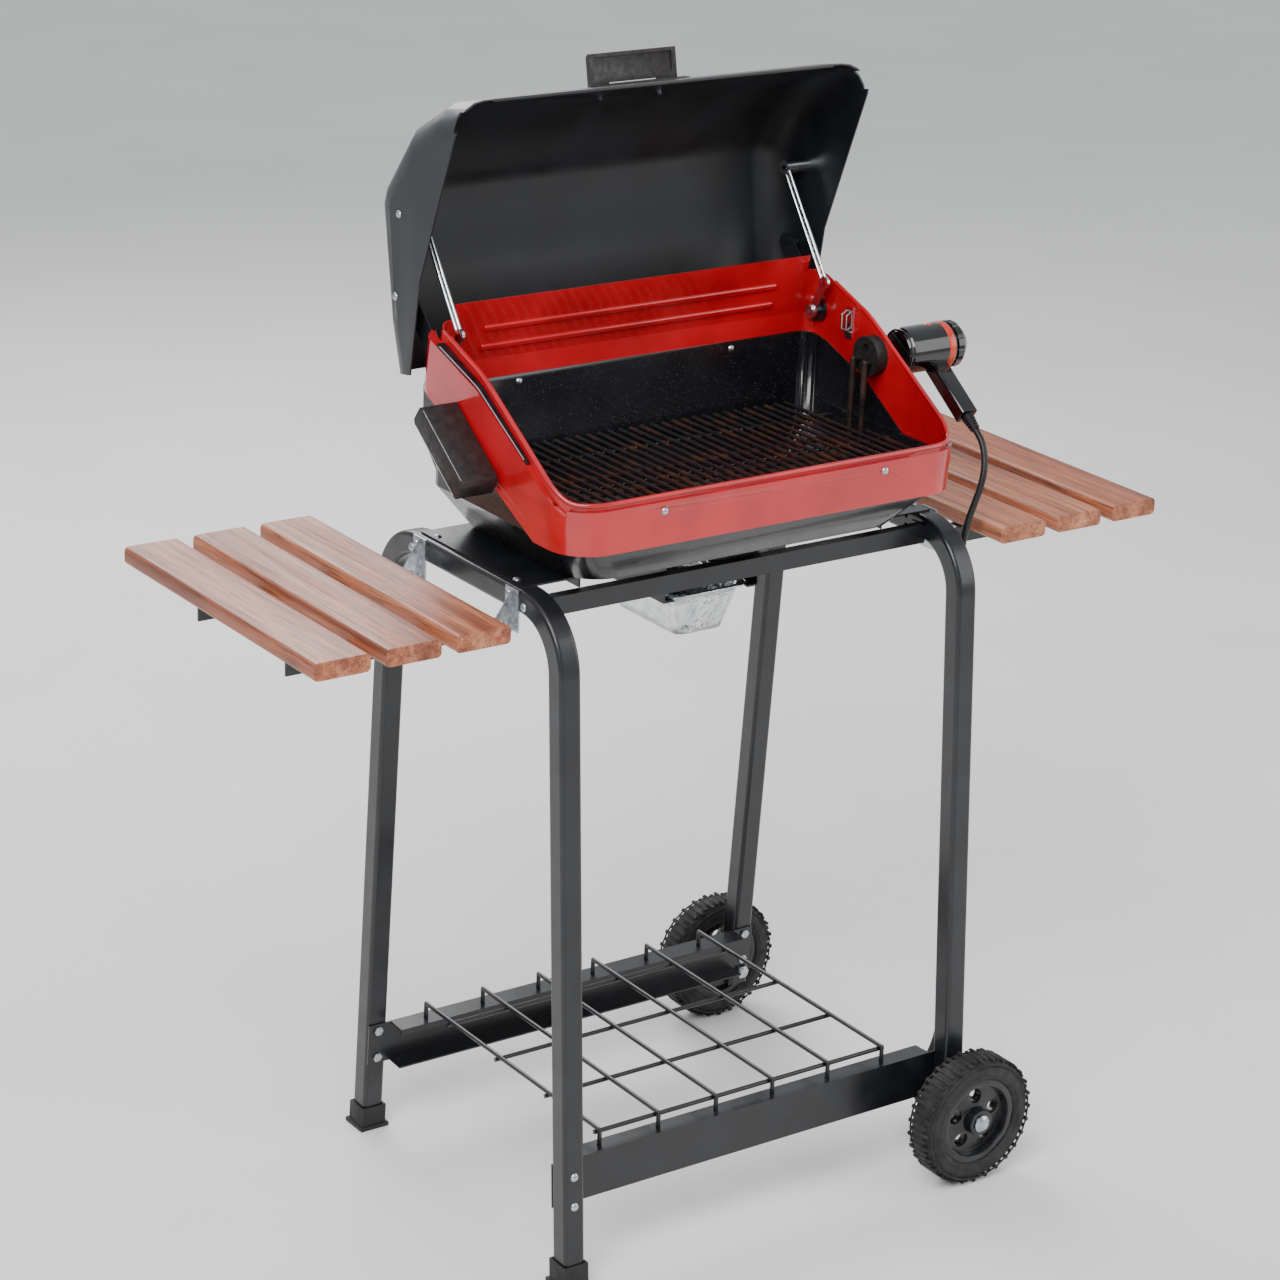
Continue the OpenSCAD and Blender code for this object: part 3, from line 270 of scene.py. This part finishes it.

# %% [markdown]
# The hood wears a heat-proof satin paint. It is nearly black, with a slight blue in its colour
# that is a painted sky reflection, and its grain of about a millimetre breaks up the highlights.

# %% Hood and frame paints
mat, surface, place = finish_named("satin heat-proof paint", coat_weight=0.15, coat_roughness=0.3)
# The slight blue in these near-blacks is a painted sky reflection.
mottle(mat, surface, place, "#121417", "#1C1F24", 70)
vary_gloss(mat, surface, place, 0.32, 0.46, 35)
grain = add(mat, "ShaderNodeTexNoise", {"Vector": place, "Scale": 1 / (1.2 * MM), "Detail": 2})
relief(mat, surface, grain.outputs["Fac"], 0.08, 0.4)
finishes["hood_paint"] = mat
print(mat.name)

mat, surface, place = finish_named("black powder coat", coat_weight=0.25, coat_roughness=0.18)
# The slight blue in these near-blacks is a painted sheen.
mottle(mat, surface, place, "#0E0F12", "#16181D", 40)
vary_gloss(mat, surface, place, 0.26, 0.4, 25)
orange_peel = add(mat, "ShaderNodeTexNoise", {"Vector": place, "Scale": 1 / (2.2 * MM), "Detail": 2})
relief(mat, surface, orange_peel.outputs["Fac"], 0.1, 0.45)
finishes["frame_paint"] = finishes["arm_paint"] = finishes["shelf_coat"] = mat
print(mat.name)

# %% [markdown]
# The lower pan is black porcelain enamel, whose tiny pale specks come from the glass frit.
# A cell pattern gives the specks, one to every few millimetres.

# %% Pan enamel
mat, surface, place = finish_named("speckled black porcelain enamel", coat_weight=0.5, coat_roughness=0.1)
specks = add(mat, "ShaderNodeTexVoronoi", {"Vector": place, "Scale": 1 / (3 * MM)})
dots = shades(mat, specks.outputs["Distance"], (0.06, 0.13), ("#8E9094", "#121317"))
mat.node_tree.links.new(dots, surface.inputs["Base Color"])
vary_gloss(mat, surface, place, 0.22, 0.36, 40)
finishes["pan_enamel"] = mat
print(mat.name)

# %% [markdown]
# Bright zinc plate on the screws and brackets is a grey metal with a faint spangle, a few
# millimetres across, and dull patches where hands and weather have been.

# %% Zinc, chrome and trim
mat, surface, place = finish_named("bright zinc plate", metallic=1.0)
crystals = add(mat, "ShaderNodeTexVoronoi", {"Vector": place, "Scale": 1 / (4 * MM)})
greys = shades(mat, crystals.outputs["Color"], (0.2, 0.8), ("#A4A8AD", "#C3C7CB"))
mat.node_tree.links.new(greys, surface.inputs["Base Color"])
vary_gloss(mat, surface, place, 0.2, 0.42, 7)
finishes["zinc"] = mat
print(mat.name)

mat, surface, place = finish_named("polished chrome plate", metallic=1.0)
mottle(mat, surface, place, "#C9CCD0", "#E2E4E6", 12)
vary_gloss(mat, surface, place, 0.05, 0.16, 9)
finishes["chrome"] = mat
print(mat.name)

mat, surface, place = finish_named("dark blued steel trim", metallic=0.85)
mottle(mat, surface, place, "#2A2C31", "#4A4E55", 25)
vary_gloss(mat, surface, place, 0.24, 0.4, 12)
finishes["trim_steel"] = mat
print(mat.name)

# %% [markdown]
# Phenolic handles are moulded, hard and slightly mottled, with a pebbled skin so that a
# hand grips them. The element is a rod that the heat has browned; the cooking grid is dark rods whose brown
# patches are painted orange-brown glints.

# %% Phenolic, ceramic, grid and element
mat, surface, place = finish_named("pebbled phenolic moulding")
mottle(mat, surface, place, "#171314", "#2B2423", 9)
vary_gloss(mat, surface, place, 0.36, 0.58, 6)
pebbles = add(mat, "ShaderNodeTexVoronoi", {"Vector": place, "Scale": 1 / (1.8 * MM)}, feature="SMOOTH_F1")
relief(mat, surface, pebbles.outputs["Distance"], 0.25, 0.6)
finishes["handle_phenolic"] = mat
print(mat.name)

mat, surface, place = finish_named("steatite ceramic")
mottle(mat, surface, place, "#141615", "#232625", 6)
vary_gloss(mat, surface, place, 0.45, 0.65, 5)
finishes["ceramic_block"] = mat
print(mat.name)

mat, surface, place = finish_named("dark porcelain rod with painted brown glints", coat_weight=0.4, coat_roughness=0.15)
# The brown patches are painted glints of light on the dark rods.
mottle(mat, surface, place, "#17161A", "#4A2A17", 22, (0.48, 0.74))
vary_gloss(mat, surface, place, 0.18, 0.5, 14)
finishes["grid_enamel"] = mat
print(mat.name)

mat, surface, place = finish_named("oxidised element sheath", metallic=0.6)
mottle(mat, surface, place, "#211F20", "#4B3B32", 30)
vary_gloss(mat, surface, place, 0.38, 0.6, 12)
finishes["element_sheath"] = mat
print(mat.name)

mat, surface, place = finish_named("heat-stained aluminium", metallic=0.9)
mottle(mat, surface, place, "#4A3F38", "#8F9194", 45, (0.3, 0.6))
vary_gloss(mat, surface, place, 0.3, 0.55, 20)
finishes["reflector"] = mat
print(mat.name)

# %% [markdown]
# Plastics. The controller is a gloss moulding, the wheel hubs are a harder, half-gloss one,
# and the feet are matt. Each has slow ripples from the mould and a few rubbed places.

# %% Plastics
for slot, name, low, high, gloss, ripple, coat in (
        ("controller_plastic", "gloss black ABS", "#08080A", "#101114", (0.08, 0.16), 0.02, 0.5),
        ("hub_plastic", "half-gloss polypropylene", "#131416", "#1E1F22", (0.2, 0.34), 0.08, 0.1),
        ("foot_plastic", "matt polyethylene", "#121212", "#1C1C1C", (0.5, 0.7), 0.1, 0.0)):
    mat, surface, place = finish_named(name, coat_weight=coat, coat_roughness=0.08)
    mottle(mat, surface, place, low, high, 20)
    vary_gloss(mat, surface, place, *gloss, 15)
    mould = add(mat, "ShaderNodeTexNoise", {"Vector": place, "Scale": 1 / (8 * MM), "Detail": 3})
    relief(mat, surface, mould.outputs["Fac"], ripple, 0.5)
    finishes[slot] = mat
    print(mat.name)

# The lens's faint glow from its emission is painted light: the plug lies on the floor, so no lamp behind it
# is lit.
mat, surface, place = finish_named("red acrylic lens", coat_weight=1.0, coat_roughness=0.03,
                                   emission_strength=0.25)
surface.inputs["Emission Color"].default_value = paint("#FF3010")
mottle(mat, surface, place, "#C81505", "#F03A12", 4)
vary_gloss(mat, surface, place, 0.05, 0.12, 3)
finishes["lens_red"] = mat
print(mat.name)

mat, surface, place = finish_named("orange-red nylon ring", coat_weight=0.4, coat_roughness=0.1)
mottle(mat, surface, place, "#B5230C", "#D8391A", 8)
vary_gloss(mat, surface, place, 0.2, 0.32, 6)
ring_red = mat
print(mat.name)

# %% [markdown]
# Rubber is dark and dull, and its bloom leaves it grey in patches. The tyre also carries
# dust, so its colour wanders to a warm grey.

# %% Rubber
for slot, name, low, high, gloss, size in (
        ("cord_rubber", "PVC cord sheath", "#0B0B0C", "#151516", (0.34, 0.5), 14),
        ("tyre_rubber", "moulded tyre rubber", "#141415", "#2A2826", (0.6, 0.85), 16)):
    mat, surface, place = finish_named(name)
    mottle(mat, surface, place, low, high, size)
    vary_gloss(mat, surface, place, *gloss, 10)
    skin = add(mat, "ShaderNodeTexNoise", {"Vector": place, "Scale": 1 / (0.9 * MM), "Detail": 2})
    relief(mat, surface, skin.outputs["Fac"], 0.08, 0.5)
    finishes[slot] = mat
    print(mat.name)

# %% [markdown]
# The boards are an oiled, red-brown hardwood. The grain runs along each board, so the noise
# is stretched thirty times along Y: broad bands for the growth rings, fine dark streaks for the
# pores. On the sawn ends the same pattern is cut across and shows as end grain.

# %% Wood
mat, surface, place = finish_named("oiled red-brown hardwood", coat_weight=0.12, coat_roughness=0.35)
stretch = add(mat, "ShaderNodeMapping", {"Vector": place, "Scale": (1, 0.035, 1)})
bands = add(mat, "ShaderNodeTexNoise", {"Vector": stretch.outputs["Vector"], "Scale": 1 / (16 * MM),
                                        "Detail": 6, "Roughness": 0.62, "Distortion": 0.6})
hues = shades(mat, bands.outputs["Fac"], (0.32, 0.5, 0.7), ("#743A24", "#A85E3E", "#C98862"))
pores = add(mat, "ShaderNodeTexNoise", {"Vector": stretch.outputs["Vector"], "Scale": 1 / (1.6 * MM),
                                        "Detail": 3})
streaks = add(mat, "ShaderNodeMapRange", {"Value": pores.outputs["Fac"], "From Min": 0.34, "From Max": 0.5,
                                          "To Min": 0.45, "To Max": 1.0})
wood_mix = add(mat, "ShaderNodeMix", {"Factor": 1.0}, data_type="RGBA", blend_type="MULTIPLY")
colour_in = [s for s in wood_mix.inputs if s.type == "RGBA"]
mat.node_tree.links.new(hues, colour_in[0])
mat.node_tree.links.new(streaks.outputs["Result"], colour_in[1])
colour_out = [s for s in wood_mix.outputs if s.type == "RGBA"][0]
mat.node_tree.links.new(colour_out, surface.inputs["Base Color"])
vary_gloss(mat, surface, stretch.outputs["Vector"], 0.34, 0.55, 8)
relief(mat, surface, streaks.outputs["Result"], 0.25, 0.5)
finishes["board_wood"] = mat
print(mat.name)

# %% [markdown]
# Kitchen foil is bright rolled aluminium, crumpled by the press and by hands. Flat facets
# about ten millimetres wide, each tilted its own way, come from a cell pattern's height.

# %% Foil
mat, surface, place = finish_named("crumpled aluminium foil", metallic=1.0)
mottle(mat, surface, place, "#C4C7CB", "#E6E8EA", 15)
vary_gloss(mat, surface, place, 0.14, 0.3, 8)
creases = add(mat, "ShaderNodeTexVoronoi", {"Vector": place, "Scale": 1 / (11 * MM)}, feature="F2")
relief(mat, surface, creases.outputs["Distance"], 1.6, 0.8)
finishes["foil"] = mat
print(mat.name)

# %% [markdown]
# The record says which finish each CAD node wears, so one loop gives them all. The cord is a
# new piece and gets its own.

# %% Give every CAD node its finish
for name, node in nodes.items():
    node.data.materials.clear()
    node.data.materials.append(finishes[slot_of_node[name]])
cord.data.materials.clear()
cord.data.materials.append(finishes["cord_rubber"])
print("finishes used", len(set(slot_of_node.values())))

# %% [markdown]
# Pressed sheet has soft edges, and moulded pieces have a small radius that catches the light.
# A CAD node is loose triangles with knife edges, so a copy of it is merged, its sharp edges
# are rounded with a narrow bevel and its shading is smoothed up to an angle.


# %% Softened copies
def soften(name, edge_mm=0.0, angle=32):
    """A merged copy of a CAD node with rounded edges, in the node's place."""
    piece = nodes[name].copy()
    piece.data = nodes[name].data.copy()
    piece.name = name + "_formed"
    for key in list(piece.keys()):
        del piece[key]
    piece.parent = None
    bpy.context.scene.collection.objects.link(piece)
    only(piece)
    bpy.ops.object.mode_set(mode="EDIT")
    bpy.ops.mesh.select_all(action="SELECT")
    bpy.ops.mesh.remove_doubles(threshold=0.02 * MM)
    bpy.ops.mesh.dissolve_limited(angle_limit=math.radians(0.5))
    bpy.ops.object.mode_set(mode="OBJECT")
    if edge_mm:
        bevel = piece.modifiers.new("edge", "BEVEL")
        bevel.width, bevel.segments = edge_mm * MM, 2
        bevel.limit_method, bevel.angle_limit = "ANGLE", math.radians(40)
        bpy.ops.object.modifier_apply(modifier="edge")
    bpy.ops.object.shade_smooth_by_angle(angle=math.radians(angle))
    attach(piece, body_of_node[name])
    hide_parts(name)
    return piece


for name, edge in (("bowl_casing", 0), ("bowl_liner", 0), ("hood", 0), ("lower_pan", 0),
                   ("carry_handle", 1.5), ("controller_grip", 1.5), ("front_wheel_hub", 0.6),
                   ("rear_wheel_hub", 0.6), ("hood_handle", 0.8), ("left_feet", 0.8)):
    piece = soften(name, edge)
    print(piece.name, len(piece.data.polygons), "faces")

# %% [markdown]
# The bowl's upper edge is rolled over a wire, which leaves a bead all round. A tube along the
# rim's line gives it: the line follows the plan's rounded corners, and its height is the same
# slope the sheet is cut to.

# %% Rolled rim
half, front, corner = 250, -165, 45
back_edge = 71
rim_top, rim_low, slope_start, slope = 994, 848, -147, math.tan(math.radians(32))


def rim_height(y):
    """Height of the rim at a depth y, in millimetres."""
    return min(rim_top, rim_low + max(0, y - slope_start) * slope - max(0, y - 5) * 0.2624)


left_side = [(-half, y) for y in range(back_edge, front + corner, -20)]
left_corner = [(-half + corner - corner * math.cos(a), front + corner - corner * math.sin(a))
               for a in (math.radians(d) for d in range(0, 91, 15))]
line = left_side + left_corner + [(x, front) for x in range(-170, 1, 34)]
line = line + [(-x, y) for x, y in reversed(line[:-1])]
edge_tube("rolled_rim", [(x, y, rim_height(y) - 1) for x, y in line], 2.6, "red_enamel", "cart", steps=2)
print("rim points", len(line))

# %% [markdown]
# Two ribs are pressed across the bowl's back panel to stiffen it. Each is a low rounded bar,
# which starts as a box and has its edges bevelled until it is a swelling.


# %% Boxes with rounded edges
def rounded_box(name, centre_mm, size_mm, edge_mm, slot, body, turn_x=0.0, segments=3):
    """A box at its size and place, with bevelled edges, ready to ride."""
    bpy.ops.object.select_all(action="DESELECT")
    bpy.ops.mesh.primitive_cube_add(size=1, location=(0, 0, 0))
    piece = bpy.context.object
    piece.name = name
    bpy.ops.object.mode_set(mode="EDIT")
    bpy.ops.mesh.select_all(action="SELECT")
    bpy.ops.transform.resize(value=[s * MM for s in size_mm])
    bpy.ops.mesh.bevel(offset=edge_mm * MM, segments=segments, affect="EDGES")
    bpy.ops.object.mode_set(mode="OBJECT")
    piece.data.transform(Matrix.Translation(Vector(centre_mm) * MM) @ Matrix.Rotation(turn_x, 4, "X"))
    bpy.ops.object.shade_smooth_by_angle(angle=math.radians(40))
    piece.data.materials.append(finishes[slot])
    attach(piece, body)
    return piece


lean_in, lean_up = 20, 75
for k, z in enumerate((939, 961)):
    lean_y = 110 - lean_in * (z - 925) / lean_up
    rounded_box(f"back_rib_{k + 1}", (0, lean_y - 0.3, z), (380, 3.6, 7), 1.7, "red_enamel", "cart",
                math.atan2(lean_in, lean_up))
print("two ribs on the back panel")

# %% [markdown]
# The wheels are moulded tyres with lugs across the tread. The tyre is first drawn in a little
# so that the lugs bring it back to its full size. Each lug is a small rounded block turned to
# its place, and all of one tyre's lugs are joined into one mesh.

# %% Tyres
lugs = 56
axle_x, axle_z = 257, 76
axis = Vector((axle_x, 0, axle_z)) * MM
tread_r, drawn_in, lug_r, wall_y = 72.5 * MM, 1.1 * MM, 74.3 * MM, 18.7
for name, centre_y in (("front_tyre", -244.9), ("rear_tyre", 244.9)):
    tyre = soften(name, 0, 30)
    for vertex in tyre.data.vertices:
        arm = Vector((vertex.co.x - axis.x, 0, vertex.co.z - axis.z))
        if arm.length > tread_r:
            vertex.co -= arm.normalized() * drawn_in
    lug_parts = []
    for k in range(lugs):
        lug = rounded_box("lug", (0, 0, 0), (4.6, 31, 3.0), 0.9, "tyre_rubber", "front_wheel", 0, 1)
        side_shift = 1.6 if k % 2 else -1.6
        lug.data.transform(Matrix.Rotation(math.radians(360 * k / lugs), 4, "Y") @ Matrix.Translation(
            (0, side_shift * MM, lug_r)))
        lug.data.transform(Matrix.Translation((axis.x, centre_y * MM, axis.z)))
        lug_parts.append(lug)
    bpy.ops.object.select_all(action="DESELECT")
    for lug in lug_parts:
        lug.select_set(True)
    bpy.context.view_layer.objects.active = lug_parts[0]
    bpy.ops.object.join()
    tread = bpy.context.object
    tread.name = name + "_tread"
    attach(tread, body_of_node[name])
    for ring_r in (69.5, 56.5):
        for s in (-1, 1):
            edge_tube(f"{name}_rib_{ring_r:.0f}_{'in' if s < 0 else 'out'}",
                      [(axle_x + ring_r * math.cos(a), centre_y + s * wall_y, axle_z + ring_r * math.sin(a))
                       for a in (math.radians(d) for d in range(0, 360, 15))], 1.0, "tyre_rubber",
                      body_of_node[name], closed=True, sides=2)
print("lugs on each tyre", lugs)

# %% [markdown]
# The controller is a gloss barrel with an orange-red ring before its dial, a rounded lip and a
# bright ring on the dial. Each ring is spun from a small section, as a lathe would turn it.


# %% Turned rings
def turned_ring(name, centre_mm, radius_mm, width_mm, height_mm, mat, body):
    """A ring round X with a rounded section, made by spinning the section."""
    bpy.ops.object.select_all(action="DESELECT")
    bpy.ops.mesh.primitive_circle_add(vertices=16, radius=0.5, fill_type="NOTHING")
    piece = bpy.context.object
    piece.name = name
    bpy.ops.object.mode_set(mode="EDIT")
    bpy.ops.mesh.select_all(action="SELECT")
    bpy.ops.transform.resize(value=(width_mm * MM, height_mm * MM, 1))
    bpy.ops.transform.translate(value=(0, radius_mm * MM, 0))
    bpy.ops.mesh.spin(steps=64, angle=2 * math.pi, center=(0, 0, 0), axis=(1, 0, 0))
    bpy.ops.mesh.select_all(action="SELECT")
    bpy.ops.mesh.remove_doubles(threshold=0.01 * MM)
    bpy.ops.mesh.normals_make_consistent(inside=False)
    bpy.ops.object.mode_set(mode="OBJECT")
    piece.data.transform(Matrix.Translation(Vector(centre_mm) * MM))
    bpy.ops.object.shade_smooth()
    piece.data.materials.append(mat)
    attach(piece, body)
    return piece


barrel_y, barrel_z = -26, 909
turned_ring("barrel_red_ring", (322, barrel_y, barrel_z), 26, 9, 1.2, ring_red, "cart")
turned_ring("barrel_front_lip", (266.5, barrel_y, barrel_z), 24.2, 3, 1.6, finishes["controller_plastic"],
            "cart")
turned_ring("dial_bright_ring", (341, barrel_y, barrel_z), 20.5, 1.6, 1.0, finishes["chrome"],
            "control_dial")
print("rings on the controller")

# %% [markdown]
# The strain relief is a tapered rubber sleeve with ribs that let it bend, and the plug is a
# moulded body with two blades.

# %% Strain relief and plug
sleeve = soften("strain_relief", 0, 40)
across = down.cross(Vector((1, 0, 0))).normalized()
for k in range(5):
    along = 2.5 + 3.6 * k
    centre = grip_end + down * along
    r = 6.5 - 0.1 * along + 0.35
    circle = [centre + r * (Vector((1, 0, 0)) * math.cos(a) + across * math.sin(a))
              for a in (math.radians(d) for d in range(0, 360, 30))]
    edge_tube(f"sleeve_rib_{k + 1}", circle, 0.8, "cord_rubber", "cart", closed=True, sides=2)

plug_x = coil_centre.x + tail_length
plug_y = coil_centre.y + outer
plug_body = rounded_box("plug_body", (plug_x + 10.8, plug_y, 7), (22, 16, 13.8), 2.6, "cord_rubber", "cart")
for k, dy in enumerate((-4.3, 4.7)):
    blade = rounded_box(f"plug_blade_{k + 1}", (plug_x + 27, plug_y + dy, 7), (12, 1.4, 6), 0.3, "chrome",
                        "cart")
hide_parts("plug")

# %% [markdown]
# The foil pan is thin enough to buckle. A copy of the CAD pan is divided into small faces and
# each point is nudged by a smooth wave of its own place, which leaves the walls crumpled but
# keeps the rim within its guides. The rolled rim is a tube round the edge.

# %% Foil pan
pan_half_x, pan_half_y, pan_corner, pan_y, pan_edge_z = 54, 73, 14, 12.5, 687.6
foil = soften("foil_pan", 0, 50)
only(foil)
bpy.ops.object.mode_set(mode="EDIT")
bpy.ops.mesh.select_all(action="SELECT")
bpy.ops.mesh.quads_convert_to_tris()
bpy.ops.mesh.subdivide(number_cuts=3)
bpy.ops.object.mode_set(mode="OBJECT")
for vertex in foil.data.vertices:
    x, y, z = (c / MM for c in vertex.co)
    if z < pan_edge_z - 1.6:
        push = (0.5 * math.sin(x * 0.31 + z * 0.2) * math.sin(y * 0.27 + z * 0.33)
                + 0.35 * math.sin(y * 0.71 + x * 0.5))
        flat = Vector((x, y - pan_y, 0)).normalized()
        vertex.co += flat * push * MM
edge_line = [(sx * (pan_half_x - pan_corner) + pan_corner * math.cos(a),
              pan_y + sy * (pan_half_y - pan_corner) + pan_corner * math.sin(a), pan_edge_z)
             for sx, sy, start in ((1, 1, 0), (-1, 1, 90), (-1, -1, 180), (1, -1, 270))
             for a in (math.radians(start + d) for d in (0, 30, 60, 90))]
edge_tube("foil_rolled_rim", edge_line, 1.1, "foil", "drip_pan", closed=True, steps=1)
print("foil faces", len(foil.data.polygons))

# %% [markdown]
# The ledge on each side carries a dark trim strip whose bend catches a bright highlight, as does
# each outer corner of the carry handle. Thin tubes of bright metal paint both highlights.

# %% Painted highlight lines
for s, label in ((-1, "left"), (1, "right")):
    # A chrome tube along the trim strip's bend is a painted highlight.
    edge = [(s * (255.3 + 4.7 * (y + 82) / 158), y, rim_height(y) - 14 + 3.2) for y in range(-82, 77, 12)]
    edge_tube(f"{label}_trim_highlight_line", edge, 0.8, "chrome", "cart", steps=2)
handle_x, handle_y, handle_z, handle_slope = -259 - 41.6, 8, 867, math.radians(36)
# A chrome tube along each outer corner of the carry handle is a painted highlight.
for dz, label in ((12.2, "upper"), (-12.2, "lower")):
    handle_highlight_points = [(handle_x, handle_y + y * math.cos(handle_slope) - dz * math.sin(handle_slope),
                    handle_z + y * math.sin(handle_slope) + dz * math.cos(handle_slope))
                   for y in range(-46, 47, 4)]
    edge_tube(f"carry_handle_{label}_line", handle_highlight_points, 0.7, "chrome", "cart", steps=1)
print("trim and handle lines")

# %% [markdown]
# The hood's front lip is folded inwards, which leaves a rounded edge along the opening, and the
# handle's plate has a raised border. The hood is drawn open, so both are worked out in the shut
# position and then turned about the hinge by the same angle.

# %% Hood lip and handle border
hinge_y, hinge_z, opening = 94.011, 930, math.radians(101)


def opened(point):
    """A point of the shut hood, in millimetres, turned to the open position."""
    y, z = point[1] - hinge_y, point[2] - hinge_z
    return (point[0], hinge_y + y * math.cos(opening) + z * math.sin(opening),
            hinge_z - y * math.sin(opening) + z * math.cos(opening))


lip = [opened((x, -175.4, 836.5)) for x in range(-216, 217, 24)]
edge_tube("hood_front_roll", lip, 1.9, "hood_paint", "hood_body", steps=1)
plate_half, plate_low, plate_high = 55, 881.5, 914.5


def on_plate(x, z):
    """A point on the handle's plate, with the hood open. The hood's face leans back by a third."""
    return opened((x, -177 + (z - 872) * (1 / 3) - 3.4, z))


for z, label in ((plate_low, "low"), (plate_high, "high")):
    edge_tube(f"handle_border_{label}", [on_plate(x, z) for x in (-plate_half, -20, 20, plate_half)], 1.3,
              "handle_phenolic", "hood_body", steps=1)
for x, label in ((-plate_half, "left"), (plate_half, "right")):
    edge_tube(f"handle_border_{label}", [on_plate(x, z) for z in (plate_low, 898, plate_high)], 1.3,
              "handle_phenolic", "hood_body", steps=1)
print("lip and border")

# %% [markdown]
# The floor is one large pale plane with a very slight mottle, and the light is a big soft
# source high on the left, a weaker one on the right and a pale surround, so that the black
# parts still show their edges.

# %% Floor and light
bpy.ops.object.select_all(action="DESELECT")
bpy.ops.mesh.primitive_plane_add(size=30, location=(0, 0, -0.0004))
floor = bpy.context.object
floor.name = "floor"
mat, surface, place = finish_named("pale matt board", roughness=0.8)
mottle(mat, surface, place, "#EDECEA", "#F2F1EF", 400)
floor.data.materials.append(mat)

world = bpy.data.worlds.new("pale surround")
bpy.context.scene.world = world
world.use_nodes = True
world.node_tree.nodes["Background"].inputs["Color"].default_value = paint("#E6EAEE")
world.node_tree.nodes["Background"].inputs["Strength"].default_value = 0.8

for name, spot, size, power in (("key", (-2.2, -1.6, 3.2), 2.2, 130), ("fill", (2.8, -2.2, 2.0), 2.5, 50),
                                ("rim_light", (0.5, 2.8, 2.6), 2.0, 75)):
    bpy.ops.object.light_add(type="AREA", location=spot)
    light = bpy.context.object
    light.name = name
    light.data.size, light.data.energy = size, power
    light.rotation_euler = (Vector((0, 0, 0.6)) - Vector(spot)).to_track_quat("-Z", "Y").to_euler()
print("three soft lights")
